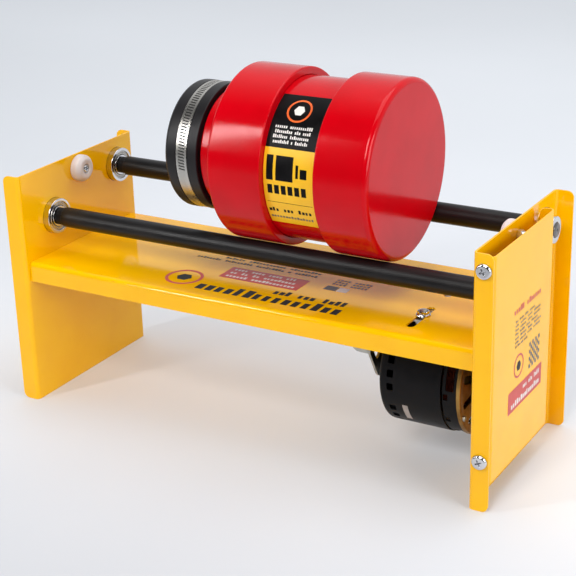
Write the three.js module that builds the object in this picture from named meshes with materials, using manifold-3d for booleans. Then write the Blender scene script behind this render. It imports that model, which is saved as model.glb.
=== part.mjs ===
// Rotary rock tumbler: a folded steel frame with two rubber-covered shafts, a belt drive under
// a guard, and a capped barrel that lies across the shafts. Millimetres, +Z up, +X to the drive end.
import * as THREE from 'three';
import { mergeVertices } from 'three/addons/utils/BufferGeometryUtils.js';
import Module from 'manifold-3d';

const wasm = await Module();
wasm.setup();

// ---- Driving dimensions ---------------------------------------------------------------------
const GAP = 0.3; // clearance between pieces that touch

// Frame
const SHEET = 2; // frame plate thickness
const INNER = 267.4; // half the distance between the inner faces of the end plates
const DEPTH = 210.8; // front to back over the flanges
const HEIGHT = 266.7; // end plate height
const FLANGE = 20.8; // flange width, measured from the plate's inner face
const BEND = 5; // outside radius of every fold
const CORNER = 7; // rounded corners of the flanges and the guard's legs
const SHELF_TOP = 166.5;
const SHELF_DEPTH = 198;
const SHELF_LIP = 22;
const TAB_DROP = 26; // end tabs of the shelf, which the shelf bolts hold
const TAB_HALF = 74;
const BOLT_DROP = 16.5; // shelf bolts, below the top of the shelf
const BOLT_SPREAD = 60; // shelf bolts, either side of the middle
const BOLT_R = 3;
const BOLT_HOLE_R = 3.3;
const BOLT_HEAD_R = 6.2;
const BOLT_HEAD = 3.4; // height of the shelf bolt heads

// Belt guard
const GUARD_SHEET = 1.5;
const GUARD_BOTTOM = 30;
const GUARD_TOP = 264;
const GUARD_REAR = 51; // rear face of the guard
const GUARD_SCREW_X = INNER + 11.4;
const GUARD_SCREW_Z = { upper: 250, lower: 54 };
const GUARD_SCREW_R = 8; // head radius
const SCREW_HEAD = 3.6; // head height
const SCREW_HOLE_R = 3.4;

// Shafts: [y, z] of each axis
const DRIVE = [-49, 207.5];
const IDLER = [71.7, 234.8];
const SHAFT_R = 7.94;
const SLEEVE_R = 11.1;
const SLEEVE_END = 17; // from the plate to the full width of the rubber
const SLEEVE_NECK_R = 9.6; // thinner end of the rubber, next to the bearing
const SHAFT_END = 16.5; // shaft beyond the plate's inner face
const BEARING_R = 20;
const BEARING_IN = 8; // bearing standing inside the plate
const BEARING_FLANGE = 1.5; // thickness of the flange outside the plate
const BEARING_RACE_R = 16.2; // inside of the outer ring
const BEARING_SHIELD_R = 12.6; // inside of the shield
const BEARING_INNER_R = 11.8; // outside of the inner ring
const COLLAR_R = 14.3;
const COLLAR_WIDTH = 11;

// Bumper rollers
const BUMPER = [0, 250];
const BUMPER_R = 15.3;
const BUMPER_PIN_R = 2.7;
const BUMPER_BORE_R = 3.4;

// Barrel, measured along the axis from the inner face of the left plate
const BARREL_R = 92.5;
const PIPE_R = 84.15;
const PIPE_WALL = 7.1;
const NECK_R = 57.15;
const NECK_WALL = 6;
const HUB_R = 64;
const LID_R = 68;
const LID_FACE = 174.6;
const LID_RIM = 214.6;
const REDUCER_FACE = 243;
const REDUCER_RIM = 304;
const CAP_RIM = 364;
const CAP_FACE = 422.5;
const CAP_WALL = 9.7;
const LID_WALL = 5;
const BAND_WIDTH = 12.7;
const BAND_THICK = 0.8;
const BAND_DEPTH = 1.4; // of the lid's groove that the band lies in
const WORM_R = 3.4;
const WORM_TURN = -0.6; // radians from the back of the lid down to the worm

// Motor and belt
const MOTOR = [2, 94];
const MOTOR_R = 63.5;
const MOTOR_LEFT = 415;
const MOTOR_SPLIT = 484;
const MOTOR_RIGHT = 501;
const MOTOR_SHAFT_R = 6.35;
const MOTOR_WALL = 1.6;
const MOTOR_HUB_R = 14;
const HUB_LENGTH = 19; // hub standing out of the can's left end
const CORD_HOLE = 26; // from the can's left end
const VENT_GROUPS = 7; // groups of three vents around the can
const VENT_PHASE = 1.41; // first group, turned forward from straight up
const VENT_STEP = 0.23;
const WINDOWS = 4; // windows around the front shell
const WINDOW_PHASE = 1.2;
const BELL_SLOTS = 12;
const SLOT_HALF = 28; // half the length of each shelf slot
const SLOT_R = 4.4;
const BOLT_X = 456; // motor bolts, from the left plate
const BOLT_OFFSET = 44; // motor bolts, either side of the motor axis
const SLOT_OFFSET = 44.2; // slot centres, either side of the shelf's middle
const SLOT_SHIFT = -3;
const NUT_HEIGHT = 4.8; // flanged nuts on the motor bolts
const MOTOR_BOLT_R = 3.9;
const MOTOR_BOLT_HOLE_R = 4.2;
const SHAFT_SLOT_FRONT = 32; // slot for the motor shaft in the right plate, ahead of the shaft
const SHAFT_SLOT_REAR = 26;
const SHAFT_SLOT_HALF = 22; // half its height
const CRADLE_SHEET = 2.6;
const CRADLE_HALF = 52; // half the cradle's depth
const RING_R = 22; // rubber rings at the motor's ends
const DRIVE_PULLEY_R = 38.1;
const PULLEY_HOLE_RING = 20.5; // four holes in the drive pulley's web
const PULLEY_HOLE_R = 4;
const MOTOR_PULLEY_R = 16;
const PULLEY_WIDTH = 11;
const PULLEY_X = INNER + 4.6; // left face of both pulleys
const GROOVE = 6.6;
const BELT_WIDTH = 6;
const BELT_THICK = 5.4;

// Facets around a full turn
const LARGE = 28;
const MEDIUM = 20;
const SMALL = 14;
const TINY = 8;

// The barrel lies in the valley between the two shafts, a hair clear of both.
const seat = BARREL_R + SLEEVE_R + GAP;
const span = Math.hypot(IDLER[0] - DRIVE[0], IDLER[1] - DRIVE[1]);
const rise = Math.sqrt(seat ** 2 - (span / 2) ** 2);
const BARREL = [
  (DRIVE[0] + IDLER[0]) / 2 - ((IDLER[1] - DRIVE[1]) / span) * rise,
  (DRIVE[1] + IDLER[1]) / 2 + ((IDLER[0] - DRIVE[0]) / span) * rise,
];

const fromLeft = (distance) => distance - INNER;

// ---- Materials ------------------------------------------------------------------------------
const finish = (color, roughness, metalness) =>
  new THREE.MeshStandardMaterial({ color, roughness, metalness });
const YELLOW = finish(0xf7b100, 0.3, 0.1);
const RED = finish(0xd10a1c, 0.2, 0);
const RUBBER = finish(0x1a181a, 0.65, 0);
const CHROME = finish(0xd8dade, 0.15, 1);
const STEEL = finish(0x9c9ca0, 0.35, 1);
const STAINLESS = finish(0xc2c0bc, 0.3, 1);
const NYLON = finish(0xe9d8d6, 0.45, 0);
const BLACK_PAINT = finish(0x161518, 0.45, 0.2);
const ZINC = finish(0xb08a4a, 0.3, 1);
const COPPER = finish(0x8a3b22, 0.35, 0.8);
const CAST = finish(0x6b6c70, 0.45, 1);

// ---- Geometry helpers -----------------------------------------------------------------------
// A closed geometry with shared vertices and faces that point out.
function closed(geometry) {
  const bare = geometry.clone();
  bare.deleteAttribute('normal');
  bare.deleteAttribute('uv');
  const merged = mergeVertices(bare, 1e-4);
  const at = merged.attributes.position;
  const faces = merged.index.array;
  const a = new THREE.Vector3();
  const b = new THREE.Vector3();
  const c = new THREE.Vector3();
  let volume = 0;
  for (let i = 0; i < faces.length; i += 3) {
    a.fromBufferAttribute(at, faces[i]);
    b.fromBufferAttribute(at, faces[i + 1]);
    c.fromBufferAttribute(at, faces[i + 2]);
    volume += a.dot(b.cross(c));
  }
  if (volume < 0) {
    for (let i = 0; i < faces.length; i += 3) {
      [faces[i + 1], faces[i + 2]] = [faces[i + 2], faces[i + 1]];
    }
  }
  return merged;
}

function toSolid(geometry) {
  const shell = closed(geometry);
  const mesh = new wasm.Mesh({
    numProp: 3,
    vertProperties: Float32Array.from(shell.attributes.position.array),
    triVerts: Uint32Array.from(shell.index.array),
  });
  return new wasm.Manifold(mesh);
}

function toGeometry(solid) {
  const mesh = solid.getMesh();
  const geometry = new THREE.BufferGeometry();
  geometry.setAttribute('position', new THREE.BufferAttribute(mesh.vertProperties, 3));
  geometry.setIndex(new THREE.BufferAttribute(mesh.triVerts, 1));
  return geometry;
}

// base, plus every geometry in joined, less every geometry in cut
function shaped(base, { joined = [], cut = [], within = [] }) {
  let solid = toSolid(base);
  for (const piece of joined) solid = solid.add(toSolid(piece));
  for (const piece of within) solid = solid.intersect(toSolid(piece));
  for (const piece of cut) solid = solid.subtract(toSolid(piece));
  return toGeometry(solid);
}

// Box between two corners
function block([x0, y0, z0], [x1, y1, z1]) {
  const box = new THREE.BoxGeometry(x1 - x0, y1 - y0, z1 - z0);
  return box.translate((x0 + x1) / 2, (y0 + y1) / 2, (z0 + z1) / 2);
}

// Solid of revolution about an axis along X through [y, z]; profile points are [x, radius].
function turned(profile, [y, z], segments = MEDIUM) {
  const points = profile.map(([x, radius]) => new THREE.Vector2(radius, x));
  if (profile[0][1] > 0) points.push(points[0].clone());
  const lathe = new THREE.LatheGeometry(points, segments);
  lathe.rotateZ(-Math.PI / 2);
  return closed(lathe).translate(0, y, z);
}

const rod = (x0, x1, radius, axis, segments) =>
  turned([[x0, 0], [x0, radius], [x1, radius], [x1, 0]], axis, segments);

const tube = (x0, x1, inside, outside, axis, segments) =>
  turned([[x0, inside], [x0, outside], [x1, outside], [x1, inside]], axis, segments);

// Round bar along Y or Z
function bar(direction, from, to, radius, [a, b], segments = TINY) {
  const cylinder = new THREE.CylinderGeometry(radius, radius, to - from, segments);
  const middle = (from + to) / 2;
  if (direction === 'y') return cylinder.translate(a, middle, b);
  return cylinder.rotateX(Math.PI / 2).translate(a, b, middle);
}

// Six-sided prism along X, Y or Z, measured across its flats
function hexagon(direction, from, to, flats, [a, b]) {
  const cylinder = new THREE.CylinderGeometry(flats / Math.sqrt(3), flats / Math.sqrt(3), to - from, 6);
  const middle = (from + to) / 2;
  if (direction === 'x') return cylinder.rotateZ(Math.PI / 2).translate(middle, a, b);
  if (direction === 'y') return cylinder.translate(a, middle, b);
  return cylinder.rotateX(Math.PI / 2).translate(a, b, middle);
}

// Outline with its own fillet at each corner; corners are [x, y, radius].
function outline(corners) {
  const shape = new THREE.Shape();
  corners.forEach(([x, y, radius], i) => {
    const here = new THREE.Vector2(x, y);
    const before = new THREE.Vector2(...corners[(i + corners.length - 1) % corners.length]);
    const after = new THREE.Vector2(...corners[(i + 1) % corners.length]);
    const back = before.sub(here).normalize();
    const on = after.sub(here).normalize();
    const reach = radius / Math.tan(back.angleTo(on) / 2);
    const start = here.clone().addScaledVector(back, reach);
    const end = here.clone().addScaledVector(on, reach);
    if (i === 0) shape.moveTo(start.x, start.y);
    else shape.lineTo(start.x, start.y);
    if (radius > 0) shape.quadraticCurveTo(x, y, end.x, end.y);
  });
  shape.closePath();
  return shape;
}

const extrude = (shape, depth, curveSegments = 3) =>
  new THREE.ExtrudeGeometry(shape, { depth, bevelEnabled: false, curveSegments });

// Extrusion of a shape drawn in X and Z, along Y from front to back
function extrudeAlongY(shape, front, back, curveSegments) {
  return extrude(shape, back - front, curveSegments).rotateX(Math.PI / 2).translate(0, back, 0);
}

// Extrusion of a shape drawn in Y and Z, along X from left to right
function extrudeAlongX(shape, left, right, curveSegments) {
  const solid = extrude(shape, right - left, curveSegments);
  return solid.rotateX(Math.PI / 2).rotateZ(Math.PI / 2).translate(left, 0, 0);
}

// Slot or stadium of half-length and radius, drawn about [x, y], long way along the second axis
function stadium(x, y, halfLength, radius) {
  const shape = new THREE.Shape();
  const straight = halfLength - radius;
  shape.absarc(x, y + straight, radius, 0, Math.PI);
  shape.absarc(x, y - straight, radius, Math.PI, 2 * Math.PI);
  shape.closePath();
  return shape;
}

// ---- Assembly -------------------------------------------------------------------------------
const tumbler = new THREE.Group();
tumbler.position.y = (SCREW_HEAD + GAP) / 2;

function add(name, geometry, material, parent = tumbler) {
  const mesh = new THREE.Mesh(closed(geometry), material);
  mesh.name = name;
  parent.add(mesh);
  return mesh;
}

// A folded channel: web on x = 0, flanges reaching to +width at both ends of its depth
function channel(width, from, to, sheet) {
  const inside = BEND - sheet;
  return outline([
    [width, from, 0],
    [0, from, BEND],
    [0, to, BEND],
    [width, to, 0],
    [width, to - sheet, 0],
    [sheet, to - sheet, inside],
    [sheet, from + sheet, inside],
    [width, from + sheet, 0],
  ]);
}

// ---- End plates -----------------------------------------------------------------------------
const shelfBoltZ = SHELF_TOP - BOLT_DROP;
const shelfBoltY = { front: -BOLT_SPREAD, rear: BOLT_SPREAD };
const half = DEPTH / 2;

function endPlate(side) {
  const folded = extrude(channel(FLANGE, -half, half, SHEET), HEIGHT);
  folded.translate(INNER, 0, 0);
  if (side < 0) folded.rotateZ(Math.PI);
  const edge = side * (INNER + FLANGE);
  const corners = [
    [side * (INNER - 1), 0, 0],
    [edge, 0, CORNER],
    [edge, HEIGHT, CORNER],
    [side * (INNER - 1), HEIGHT, 0],
  ];
  const sideView = extrudeAlongY(outline(corners), -half - 1, half + 1);
  const wall = [side * INNER - 3, side * INNER + 3];
  const holes = [
    rod(...wall, BEARING_R + GAP, DRIVE, SMALL),
    rod(...wall, BEARING_R + GAP, IDLER, SMALL),
    rod(...wall, BUMPER_BORE_R, BUMPER, TINY),
  ];
  for (const y of Object.values(shelfBoltY)) {
    holes.push(rod(...wall, BOLT_HOLE_R, [y, shelfBoltZ], TINY));
  }
  if (side > 0) {
    const [y, z] = MOTOR;
    const shaftSlot = outline([
      [y - SHAFT_SLOT_FRONT, z - SHAFT_SLOT_HALF, SHAFT_SLOT_HALF - 1],
      [y + SHAFT_SLOT_REAR, z - SHAFT_SLOT_HALF, SHAFT_SLOT_HALF - 1],
      [y + SHAFT_SLOT_REAR, z + SHAFT_SLOT_HALF, SHAFT_SLOT_HALF - 1],
      [y - SHAFT_SLOT_FRONT, z + SHAFT_SLOT_HALF, SHAFT_SLOT_HALF - 1],
    ]);
    holes.push(extrudeAlongX(shaftSlot, ...wall));
    for (const height of Object.values(GUARD_SCREW_Z)) {
      holes.push(bar('y', -half - 1, -half + SHEET + 1, SCREW_HOLE_R, [GUARD_SCREW_X, height]));
    }
  }
  return shaped(folded, { within: [sideView], cut: holes });
}

add('left_end_plate', endPlate(-1), YELLOW);
add('right_end_plate', endPlate(1), YELLOW);

// ---- Shelf ----------------------------------------------------------------------------------
const shelfEnd = INNER - GAP;
const slotCentres = { front: -SLOT_OFFSET + SLOT_SHIFT, rear: SLOT_OFFSET + SLOT_SHIFT };

function shelf() {
  const from = -SHELF_DEPTH / 2;
  const folded = extrude(channel(SHELF_LIP, from, -from, SHEET), 2 * shelfEnd);
  folded.rotateY(Math.PI / 2).translate(-shelfEnd, 0, SHELF_TOP);
  const tabs = [];
  const nuts = [];
  const holes = [];
  for (const side of [-1, 1]) {
    const [left, right] = [side * shelfEnd, side * (shelfEnd - SHEET)].sort((p, q) => p - q);
    const bottom = SHELF_TOP - TAB_DROP;
    tabs.push(block([left, -TAB_HALF, bottom], [right, TAB_HALF, SHELF_TOP - SHEET / 2]));
    for (const y of Object.values(shelfBoltY)) {
      const inner = [side * (shelfEnd - 1), side * (shelfEnd - 7)].sort((p, q) => p - q);
      nuts.push(rod(...inner, 6.5, [y, shelfBoltZ], TINY));
      holes.push(rod(inner[0] - 4, inner[1] + 4, BOLT_HOLE_R, [y, shelfBoltZ], TINY));
    }
  }
  for (const y of Object.values(slotCentres)) {
    const slot = extrude(stadium(fromLeft(BOLT_X), y, SLOT_HALF, SLOT_R), 8, 6);
    holes.push(slot.translate(0, 0, SHELF_TOP - 5));
  }
  return shaped(folded, { joined: [...tabs, ...nuts], cut: holes });
}

add('shelf', shelf(), YELLOW);

const shelfBolt = (side, y) => {
  const head = side * (INNER + SHEET + GAP);
  const tip = side * (shelfEnd - 8.5);
  const profile = [
    [tip, 0],
    [tip, BOLT_R],
    [head, BOLT_R],
    [head, BOLT_HEAD_R],
    [head + side * 2, BOLT_HEAD_R],
    [head + side * BOLT_HEAD, BOLT_HEAD_R - 2],
    [head + side * BOLT_HEAD, 0],
  ];
  return turned(profile, [y, shelfBoltZ], TINY);
};

for (const [end, side] of [['left', -1], ['right', 1]]) {
  for (const [place, y] of Object.entries(shelfBoltY)) {
    add(`shelf_bolt_${end}_${place}`, shelfBolt(side, y), STEEL);
  }
}

// ---- Belt guard -----------------------------------------------------------------------------
function beltGuard() {
  const front = -half + SHEET + GAP;
  const depth = FLANGE - BEND;
  const folded = extrude(channel(depth, front, GUARD_REAR, GUARD_SHEET), GUARD_TOP - GUARD_BOTTOM);
  folded.scale(-1, 1, 1).translate(INNER + FLANGE, 0, GUARD_BOTTOM);
  const open = INNER + FLANGE - depth;
  const outer = INNER + FLANGE + 1;
  const sideView = outline([
    [open, GUARD_BOTTOM, CORNER],
    [outer, GUARD_BOTTOM, 0],
    [outer, GUARD_TOP, 0],
    [open, GUARD_TOP, CORNER],
  ]);
  const holes = Object.values(GUARD_SCREW_Z).map((z) =>
    bar('y', front - 1, front + GUARD_SHEET + 2, SCREW_HOLE_R, [GUARD_SCREW_X, z]),
  );
  return shaped(folded, { within: [extrudeAlongY(sideView, front - 1, GUARD_REAR + 1)], cut: holes });
}

add('belt_guard', beltGuard(), YELLOW);

// Pan head screw with a cross recess, standing on the front flange, and the nut behind the guard leg
function guardScrew(z) {
  const under = -GAP;
  const top = under - SCREW_HEAD;
  const profile = [
    [under + 12, 0],
    [under + 12, 2.9],
    [under, 2.9],
    [under, GUARD_SCREW_R],
    [under - 0.9, GUARD_SCREW_R],
    [top + 0.9, GUARD_SCREW_R - 1.8],
    [top, GUARD_SCREW_R - 4.1],
    [top, 0],
  ];
  const body = turned(profile, [0, 0], SMALL);
  const recess = [
    block([top - 1, -0.8, -3.6], [under - 1.2, 0.8, 3.6]),
    block([top - 1, -3.6, -0.8], [under - 1.2, 3.6, 0.8]),
  ];
  const screw = shaped(body, { cut: recess.map((slot) => slot.rotateX(0.5)) });
  return screw.rotateZ(Math.PI / 2).translate(GUARD_SCREW_X, -half, z);
}

const guardNutFront = -half + SHEET + GUARD_SHEET + 2 * GAP;
for (const [place, z] of Object.entries(GUARD_SCREW_Z)) {
  add(`guard_screw_${place}`, guardScrew(z), CHROME);
  const nut = shaped(hexagon('y', guardNutFront, guardNutFront + 4.5, 10, [GUARD_SCREW_X, z]), {
    cut: [bar('y', guardNutFront - 1, guardNutFront + 6, 3.2, [GUARD_SCREW_X, z])],
  });
  add(`guard_nut_${place}`, nut, STEEL);
}

// ---- Shafts, sleeves, bearings and collars --------------------------------------------------
const shaftTip = INNER + SHAFT_END;
const chamfer = 1;

for (const [name, axis] of [['drive', DRIVE], ['idler', IDLER]]) {
  const profile = [
    [-shaftTip, 0],
    [-shaftTip, SHAFT_R - chamfer],
    [-shaftTip + chamfer, SHAFT_R],
    [shaftTip - chamfer, SHAFT_R],
    [shaftTip, SHAFT_R - chamfer],
    [shaftTip, 0],
  ];
  add(`${name}_shaft`, turned(profile, axis, SMALL), STEEL);
  const sleeveTip = INNER - SLEEVE_END;
  const neckEnd = INNER - BEARING_IN - 2 * GAP;
  const rubber = [
    [-neckEnd, SHAFT_R + GAP],
    [-neckEnd, SLEEVE_NECK_R],
    [-sleeveTip, SLEEVE_NECK_R],
    [-sleeveTip, SLEEVE_R - 0.6],
    [-sleeveTip + 0.6, SLEEVE_R],
    [sleeveTip - 0.6, SLEEVE_R],
    [sleeveTip, SLEEVE_R - 0.6],
    [sleeveTip, SLEEVE_NECK_R],
    [neckEnd, SLEEVE_NECK_R],
    [neckEnd, SHAFT_R + GAP],
  ];
  add(`${name}_sleeve`, turned(rubber, axis), RUBBER);
  for (const [end, side] of [['left', -1], ['right', 1]]) {
    bearing(`${name}_bearing_${end}`, side, axis);
  }
}

// Flanged ball bearing: its flange lies on the outside of the plate and it stands in past the inside.
function bearing(name, side, axis) {
  const x = (offset) => side * (INNER + offset);
  const back = SHEET + GAP;
  const outer = [
    [x(-BEARING_IN), BEARING_RACE_R],
    [x(-BEARING_IN), BEARING_R - 0.7],
    [x(-BEARING_IN + 0.7), BEARING_R],
    [x(back), BEARING_R],
    [x(back), BEARING_R + 2],
    [x(back + BEARING_FLANGE), BEARING_R + 2],
    [x(back + BEARING_FLANGE), BEARING_RACE_R],
    [x(-BEARING_IN + 1.6), BEARING_RACE_R],
    [x(-BEARING_IN + 1.6), BEARING_SHIELD_R],
    [x(-BEARING_IN + 0.8), BEARING_SHIELD_R],
    [x(-BEARING_IN + 0.8), BEARING_RACE_R],
  ];
  add(`${name}_outer_ring`, turned(outer, axis, SMALL), CHROME);
  const inner = tube(x(-BEARING_IN), x(back + BEARING_FLANGE), SHAFT_R + GAP, BEARING_INNER_R, axis, SMALL);
  add(`${name}_inner_ring`, inner, CHROME);
}

// Shaft collars outside the plates; the drive shaft's right end carries its pulley instead.
for (const [name, side, axis] of [
  ['drive_collar_left', -1, DRIVE],
  ['idler_collar_left', -1, IDLER],
  ['idler_collar_right', 1, IDLER],
]) {
  const near = side * (INNER + SHEET + 2 * GAP + BEARING_FLANGE);
  const far = near + side * COLLAR_WIDTH;
  const ring = turned([
    [near, SHAFT_R + GAP],
    [near, COLLAR_R],
    [far - side, COLLAR_R],
    [far, COLLAR_R - 1],
    [far, SHAFT_R + GAP],
  ], axis, SMALL);
  const screwHole = bar('z', axis[1] + 4, axis[1] + COLLAR_R + 2, 2, [(near + far) / 2, axis[0]]);
  add(name, shaped(ring, { cut: [screwHole] }), CHROME);
}

// ---- Bumper rollers -------------------------------------------------------------------------
for (const [end, side] of [['left', -1], ['right', 1]]) {
  const x = (offset) => side * (INNER - offset);
  const roller = [
    [x(GAP), BUMPER_BORE_R],
    [x(GAP), BUMPER_R - 1.2],
    [x(GAP + 1.2), BUMPER_R],
    [x(5), BUMPER_R],
    [x(9), BUMPER_R - 1.6],
    [x(11.6), BUMPER_R - 4],
    [x(12.6), 9],
    [x(12.2), 5.6],
    [x(9.6), 5.4],
    [x(9.6), BUMPER_BORE_R],
  ];
  add(`bumper_${end}`, turned(roller, BUMPER), NYLON);
  const screw = [
    [x(-11), 0],
    [x(-11), BUMPER_PIN_R],
    [x(9.9), BUMPER_PIN_R],
    [x(9.9), 4.9],
    [x(11), 4.9],
    [x(12.2), 3.2],
    [x(12.4), 0],
  ];
  add(`bumper_screw_${end}`, turned(screw, BUMPER, TINY), CHROME);
  add(`bumper_nut_${end}`, acornNut(side), CHROME);
}

// Domed nut on the outside of the plate, with a blind bore for the bumper screw
function acornNut(side) {
  const x = (offset) => side * (INNER + SHEET + GAP + offset);
  const dome = turned([
    [x(0), 0],
    [x(0), 5.4],
    [x(7.4), 5.4],
    [x(11), 3.8],
    [x(12.6), 0],
  ], BUMPER, SMALL);
  const flats = [x(0), x(4.6)].sort((p, q) => p - q);
  const hole = [x(-1), x(9.2)].sort((p, q) => p - q);
  return shaped(dome, {
    joined: [hexagon('x', ...flats, 11, BUMPER)],
    cut: [rod(...hole, 3.1, BUMPER, TINY)],
  });
}

// ---- Barrel ---------------------------------------------------------------------------------
const at = fromLeft;
const bore = PIPE_R - PIPE_WALL;
const socket = PIPE_R + GAP;
const pipeLeft = REDUCER_FACE + 20;
const pipeRight = CAP_FACE - 10;

add('barrel_pipe', tube(at(pipeLeft), at(pipeRight), bore, PIPE_R, BARREL, LARGE), RED);

const capFloor = CAP_FACE - CAP_WALL;
const endCap = [
  [at(capFloor), 0],
  [at(capFloor), socket],
  [at(CAP_RIM), socket],
  [at(CAP_RIM), BARREL_R - 1.2],
  [at(CAP_RIM + 1.2), BARREL_R],
  [at(CAP_FACE - 6), BARREL_R],
  [at(CAP_FACE - 1.8), BARREL_R - 1.8],
  [at(CAP_FACE), BARREL_R - 6],
  [at(CAP_FACE), 0],
];
add('barrel_end_cap', turned(endCap, BARREL, LARGE), RED);

const hubLeft = LID_RIM + 2;
const hubBore = NECK_R + GAP;
const reducer = [
  [at(REDUCER_RIM), socket],
  [at(pipeLeft - 0.4), socket],
  [at(pipeLeft - 0.4), bore],
  [at(REDUCER_FACE + 2), hubBore],
  [at(hubLeft), hubBore],
  [at(hubLeft), HUB_R],
  [at(hubLeft + 12), HUB_R],
  [at(REDUCER_FACE - 3), BARREL_R - 10.5],
  [at(REDUCER_FACE), BARREL_R - 3.4],
  [at(REDUCER_FACE + 3), BARREL_R],
  [at(REDUCER_RIM), BARREL_R],
];
add('barrel_reducer', turned(reducer, BARREL, LARGE), RED);

const neckTip = LID_FACE + LID_WALL + 2 * GAP;
add('barrel_neck', tube(at(neckTip), at(REDUCER_FACE), NECK_R - NECK_WALL, NECK_R, BARREL, LARGE), RED);

// Rubber lid: a cup over the neck, with a shallow groove that the clamp band lies in
const bandLeft = LID_FACE + 15;
const bandRight = bandLeft + BAND_WIDTH;
const bandFloor = LID_R - BAND_DEPTH;
const lid = [
  [at(LID_FACE), 0],
  [at(LID_FACE), LID_R - 6],
  [at(LID_FACE + 1.6), LID_R - 2.4],
  [at(LID_FACE + 5), LID_R],
  [at(bandLeft - 0.6), LID_R],
  [at(bandLeft - 0.6), bandFloor],
  [at(bandRight + 0.6), bandFloor],
  [at(bandRight + 0.6), LID_R],
  [at(LID_RIM), LID_R],
  [at(LID_RIM), NECK_R + GAP],
  [at(LID_FACE + LID_WALL), NECK_R + GAP],
  [at(LID_FACE + LID_WALL), 0],
];
add('barrel_lid', turned(lid, BARREL, LARGE), RUBBER);

const bandR = bandFloor + GAP;
const band = tube(at(bandLeft), at(bandRight), bandR, bandR + BAND_THICK, BARREL, LARGE);
add('clamp_band', band, STAINLESS);

// The worm housing and its screw lie across the band, low at the back of the lid.
const clampSide = new THREE.Group();
clampSide.position.set(at((bandLeft + bandRight) / 2), BARREL[0], BARREL[1]);
clampSide.rotation.x = WORM_TURN;
tumbler.add(clampSide);

const housingFloor = LID_R + GAP;
const wormY = housingFloor + 1.6 + WORM_R;

function clampHousing() {
  const body = block([-6.6, housingFloor, -8], [6.6, wormY + WORM_R + 1.6, 8]);
  const worm = bar('z', -9, 9, WORM_R + GAP, [0, wormY]);
  return shaped(body, { cut: [worm] });
}
add('clamp_housing', clampHousing(), STAINLESS, clampSide);

function clampScrew() {
  const worm = bar('z', -10, 10, WORM_R, [0, wormY]);
  const flange = bar('z', 9.4, 11, 4.6, [0, wormY]);
  const head = hexagon('z', 10.6, 14.6, 7, [0, wormY]);
  const slot = block([-5, wormY - 0.6, 13.4], [5, wormY + 0.6, 16]);
  return shaped(worm, { joined: [flange, head], cut: [slot] });
}
add('clamp_screw', clampScrew(), STEEL, clampSide);

// ---- Motor ----------------------------------------------------------------------------------
// Radial cutters in a ring about the motor axis; size is [along X, around]
function ringOfCuts(count, x, [along, around], from, to, phase = 0) {
  const cuts = [];
  for (let i = 0; i < count; i += 1) {
    const cut = block([x - along / 2, -around / 2, from], [x + along / 2, around / 2, to]);
    cuts.push(cut.rotateX(phase + (i / count) * 2 * Math.PI).translate(0, ...MOTOR));
  }
  return cuts;
}

function motorCan() {
  const left = at(MOTOR_LEFT);
  const right = at(MOTOR_SPLIT);
  const cup = turned([
    [left - HUB_LENGTH, MOTOR_SHAFT_R + GAP],
    [left - HUB_LENGTH, MOTOR_HUB_R],
    [left, MOTOR_HUB_R],
    [left, MOTOR_R - 5],
    [left + 1.4, MOTOR_R - 1.6],
    [left + 5, MOTOR_R],
    [right, MOTOR_R],
    [right, MOTOR_R - MOTOR_WALL],
    [left + 6, MOTOR_R - MOTOR_WALL],
    [left + MOTOR_WALL, MOTOR_R - 6],
    [left + MOTOR_WALL, MOTOR_SHAFT_R + GAP],
  ], MOTOR, LARGE);
  const vents = [];
  for (const step of [-1, 0, 1]) {
    const phase = VENT_PHASE + step * VENT_STEP;
    vents.push(...ringOfCuts(VENT_GROUPS, left + 13, [7, 8], MOTOR_R - 8, MOTOR_R + 4, phase));
  }
  const rear = MOTOR[0] + MOTOR_R;
  const cordHole = bar('y', rear - 20, rear + 4, 6.4, [left + CORD_HOLE, MOTOR[1]]);
  return shaped(cup, { cut: [...vents, cordHole] });
}
add('motor_can', motorCan(), BLACK_PAINT);

function cordGrommet() {
  const x = at(MOTOR_LEFT) + CORD_HOLE;
  const face = MOTOR[0] + MOTOR_R;
  const sleeve = bar('y', face - 3, face + 3.4, 6.1, [x, MOTOR[1]]);
  const rim = bar('y', face + 0.9, face + 3.4, 8.4, [x, MOTOR[1]]);
  return shaped(sleeve, { joined: [rim], cut: [bar('y', face - 6, face + 6, 3.6, [x, MOTOR[1]])] });
}
add('cord_grommet', cordGrommet(), RUBBER);

function motorFrontShell() {
  const left = at(MOTOR_SPLIT) + 1.6;
  const right = at(MOTOR_RIGHT) - GAP;
  const radius = MOTOR_R - 1;
  const ring = tube(left, right, radius - MOTOR_WALL, radius, MOTOR, LARGE);
  const middle = (left + right) / 2 + 0.4;
  const windows = ringOfCuts(WINDOWS, middle, [9, 38], radius - 12, radius + 4, WINDOW_PHASE);
  const vents = [];
  for (const beyond of [0.425, 0.9]) {
    const phase = WINDOW_PHASE + beyond;
    vents.push(...ringOfCuts(WINDOWS, left + 5, [5, 7], radius - 8, radius + 4, phase));
  }
  return shaped(ring, { cut: [...windows, ...vents] });
}
add('motor_front_shell', motorFrontShell(), BLACK_PAINT);

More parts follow.
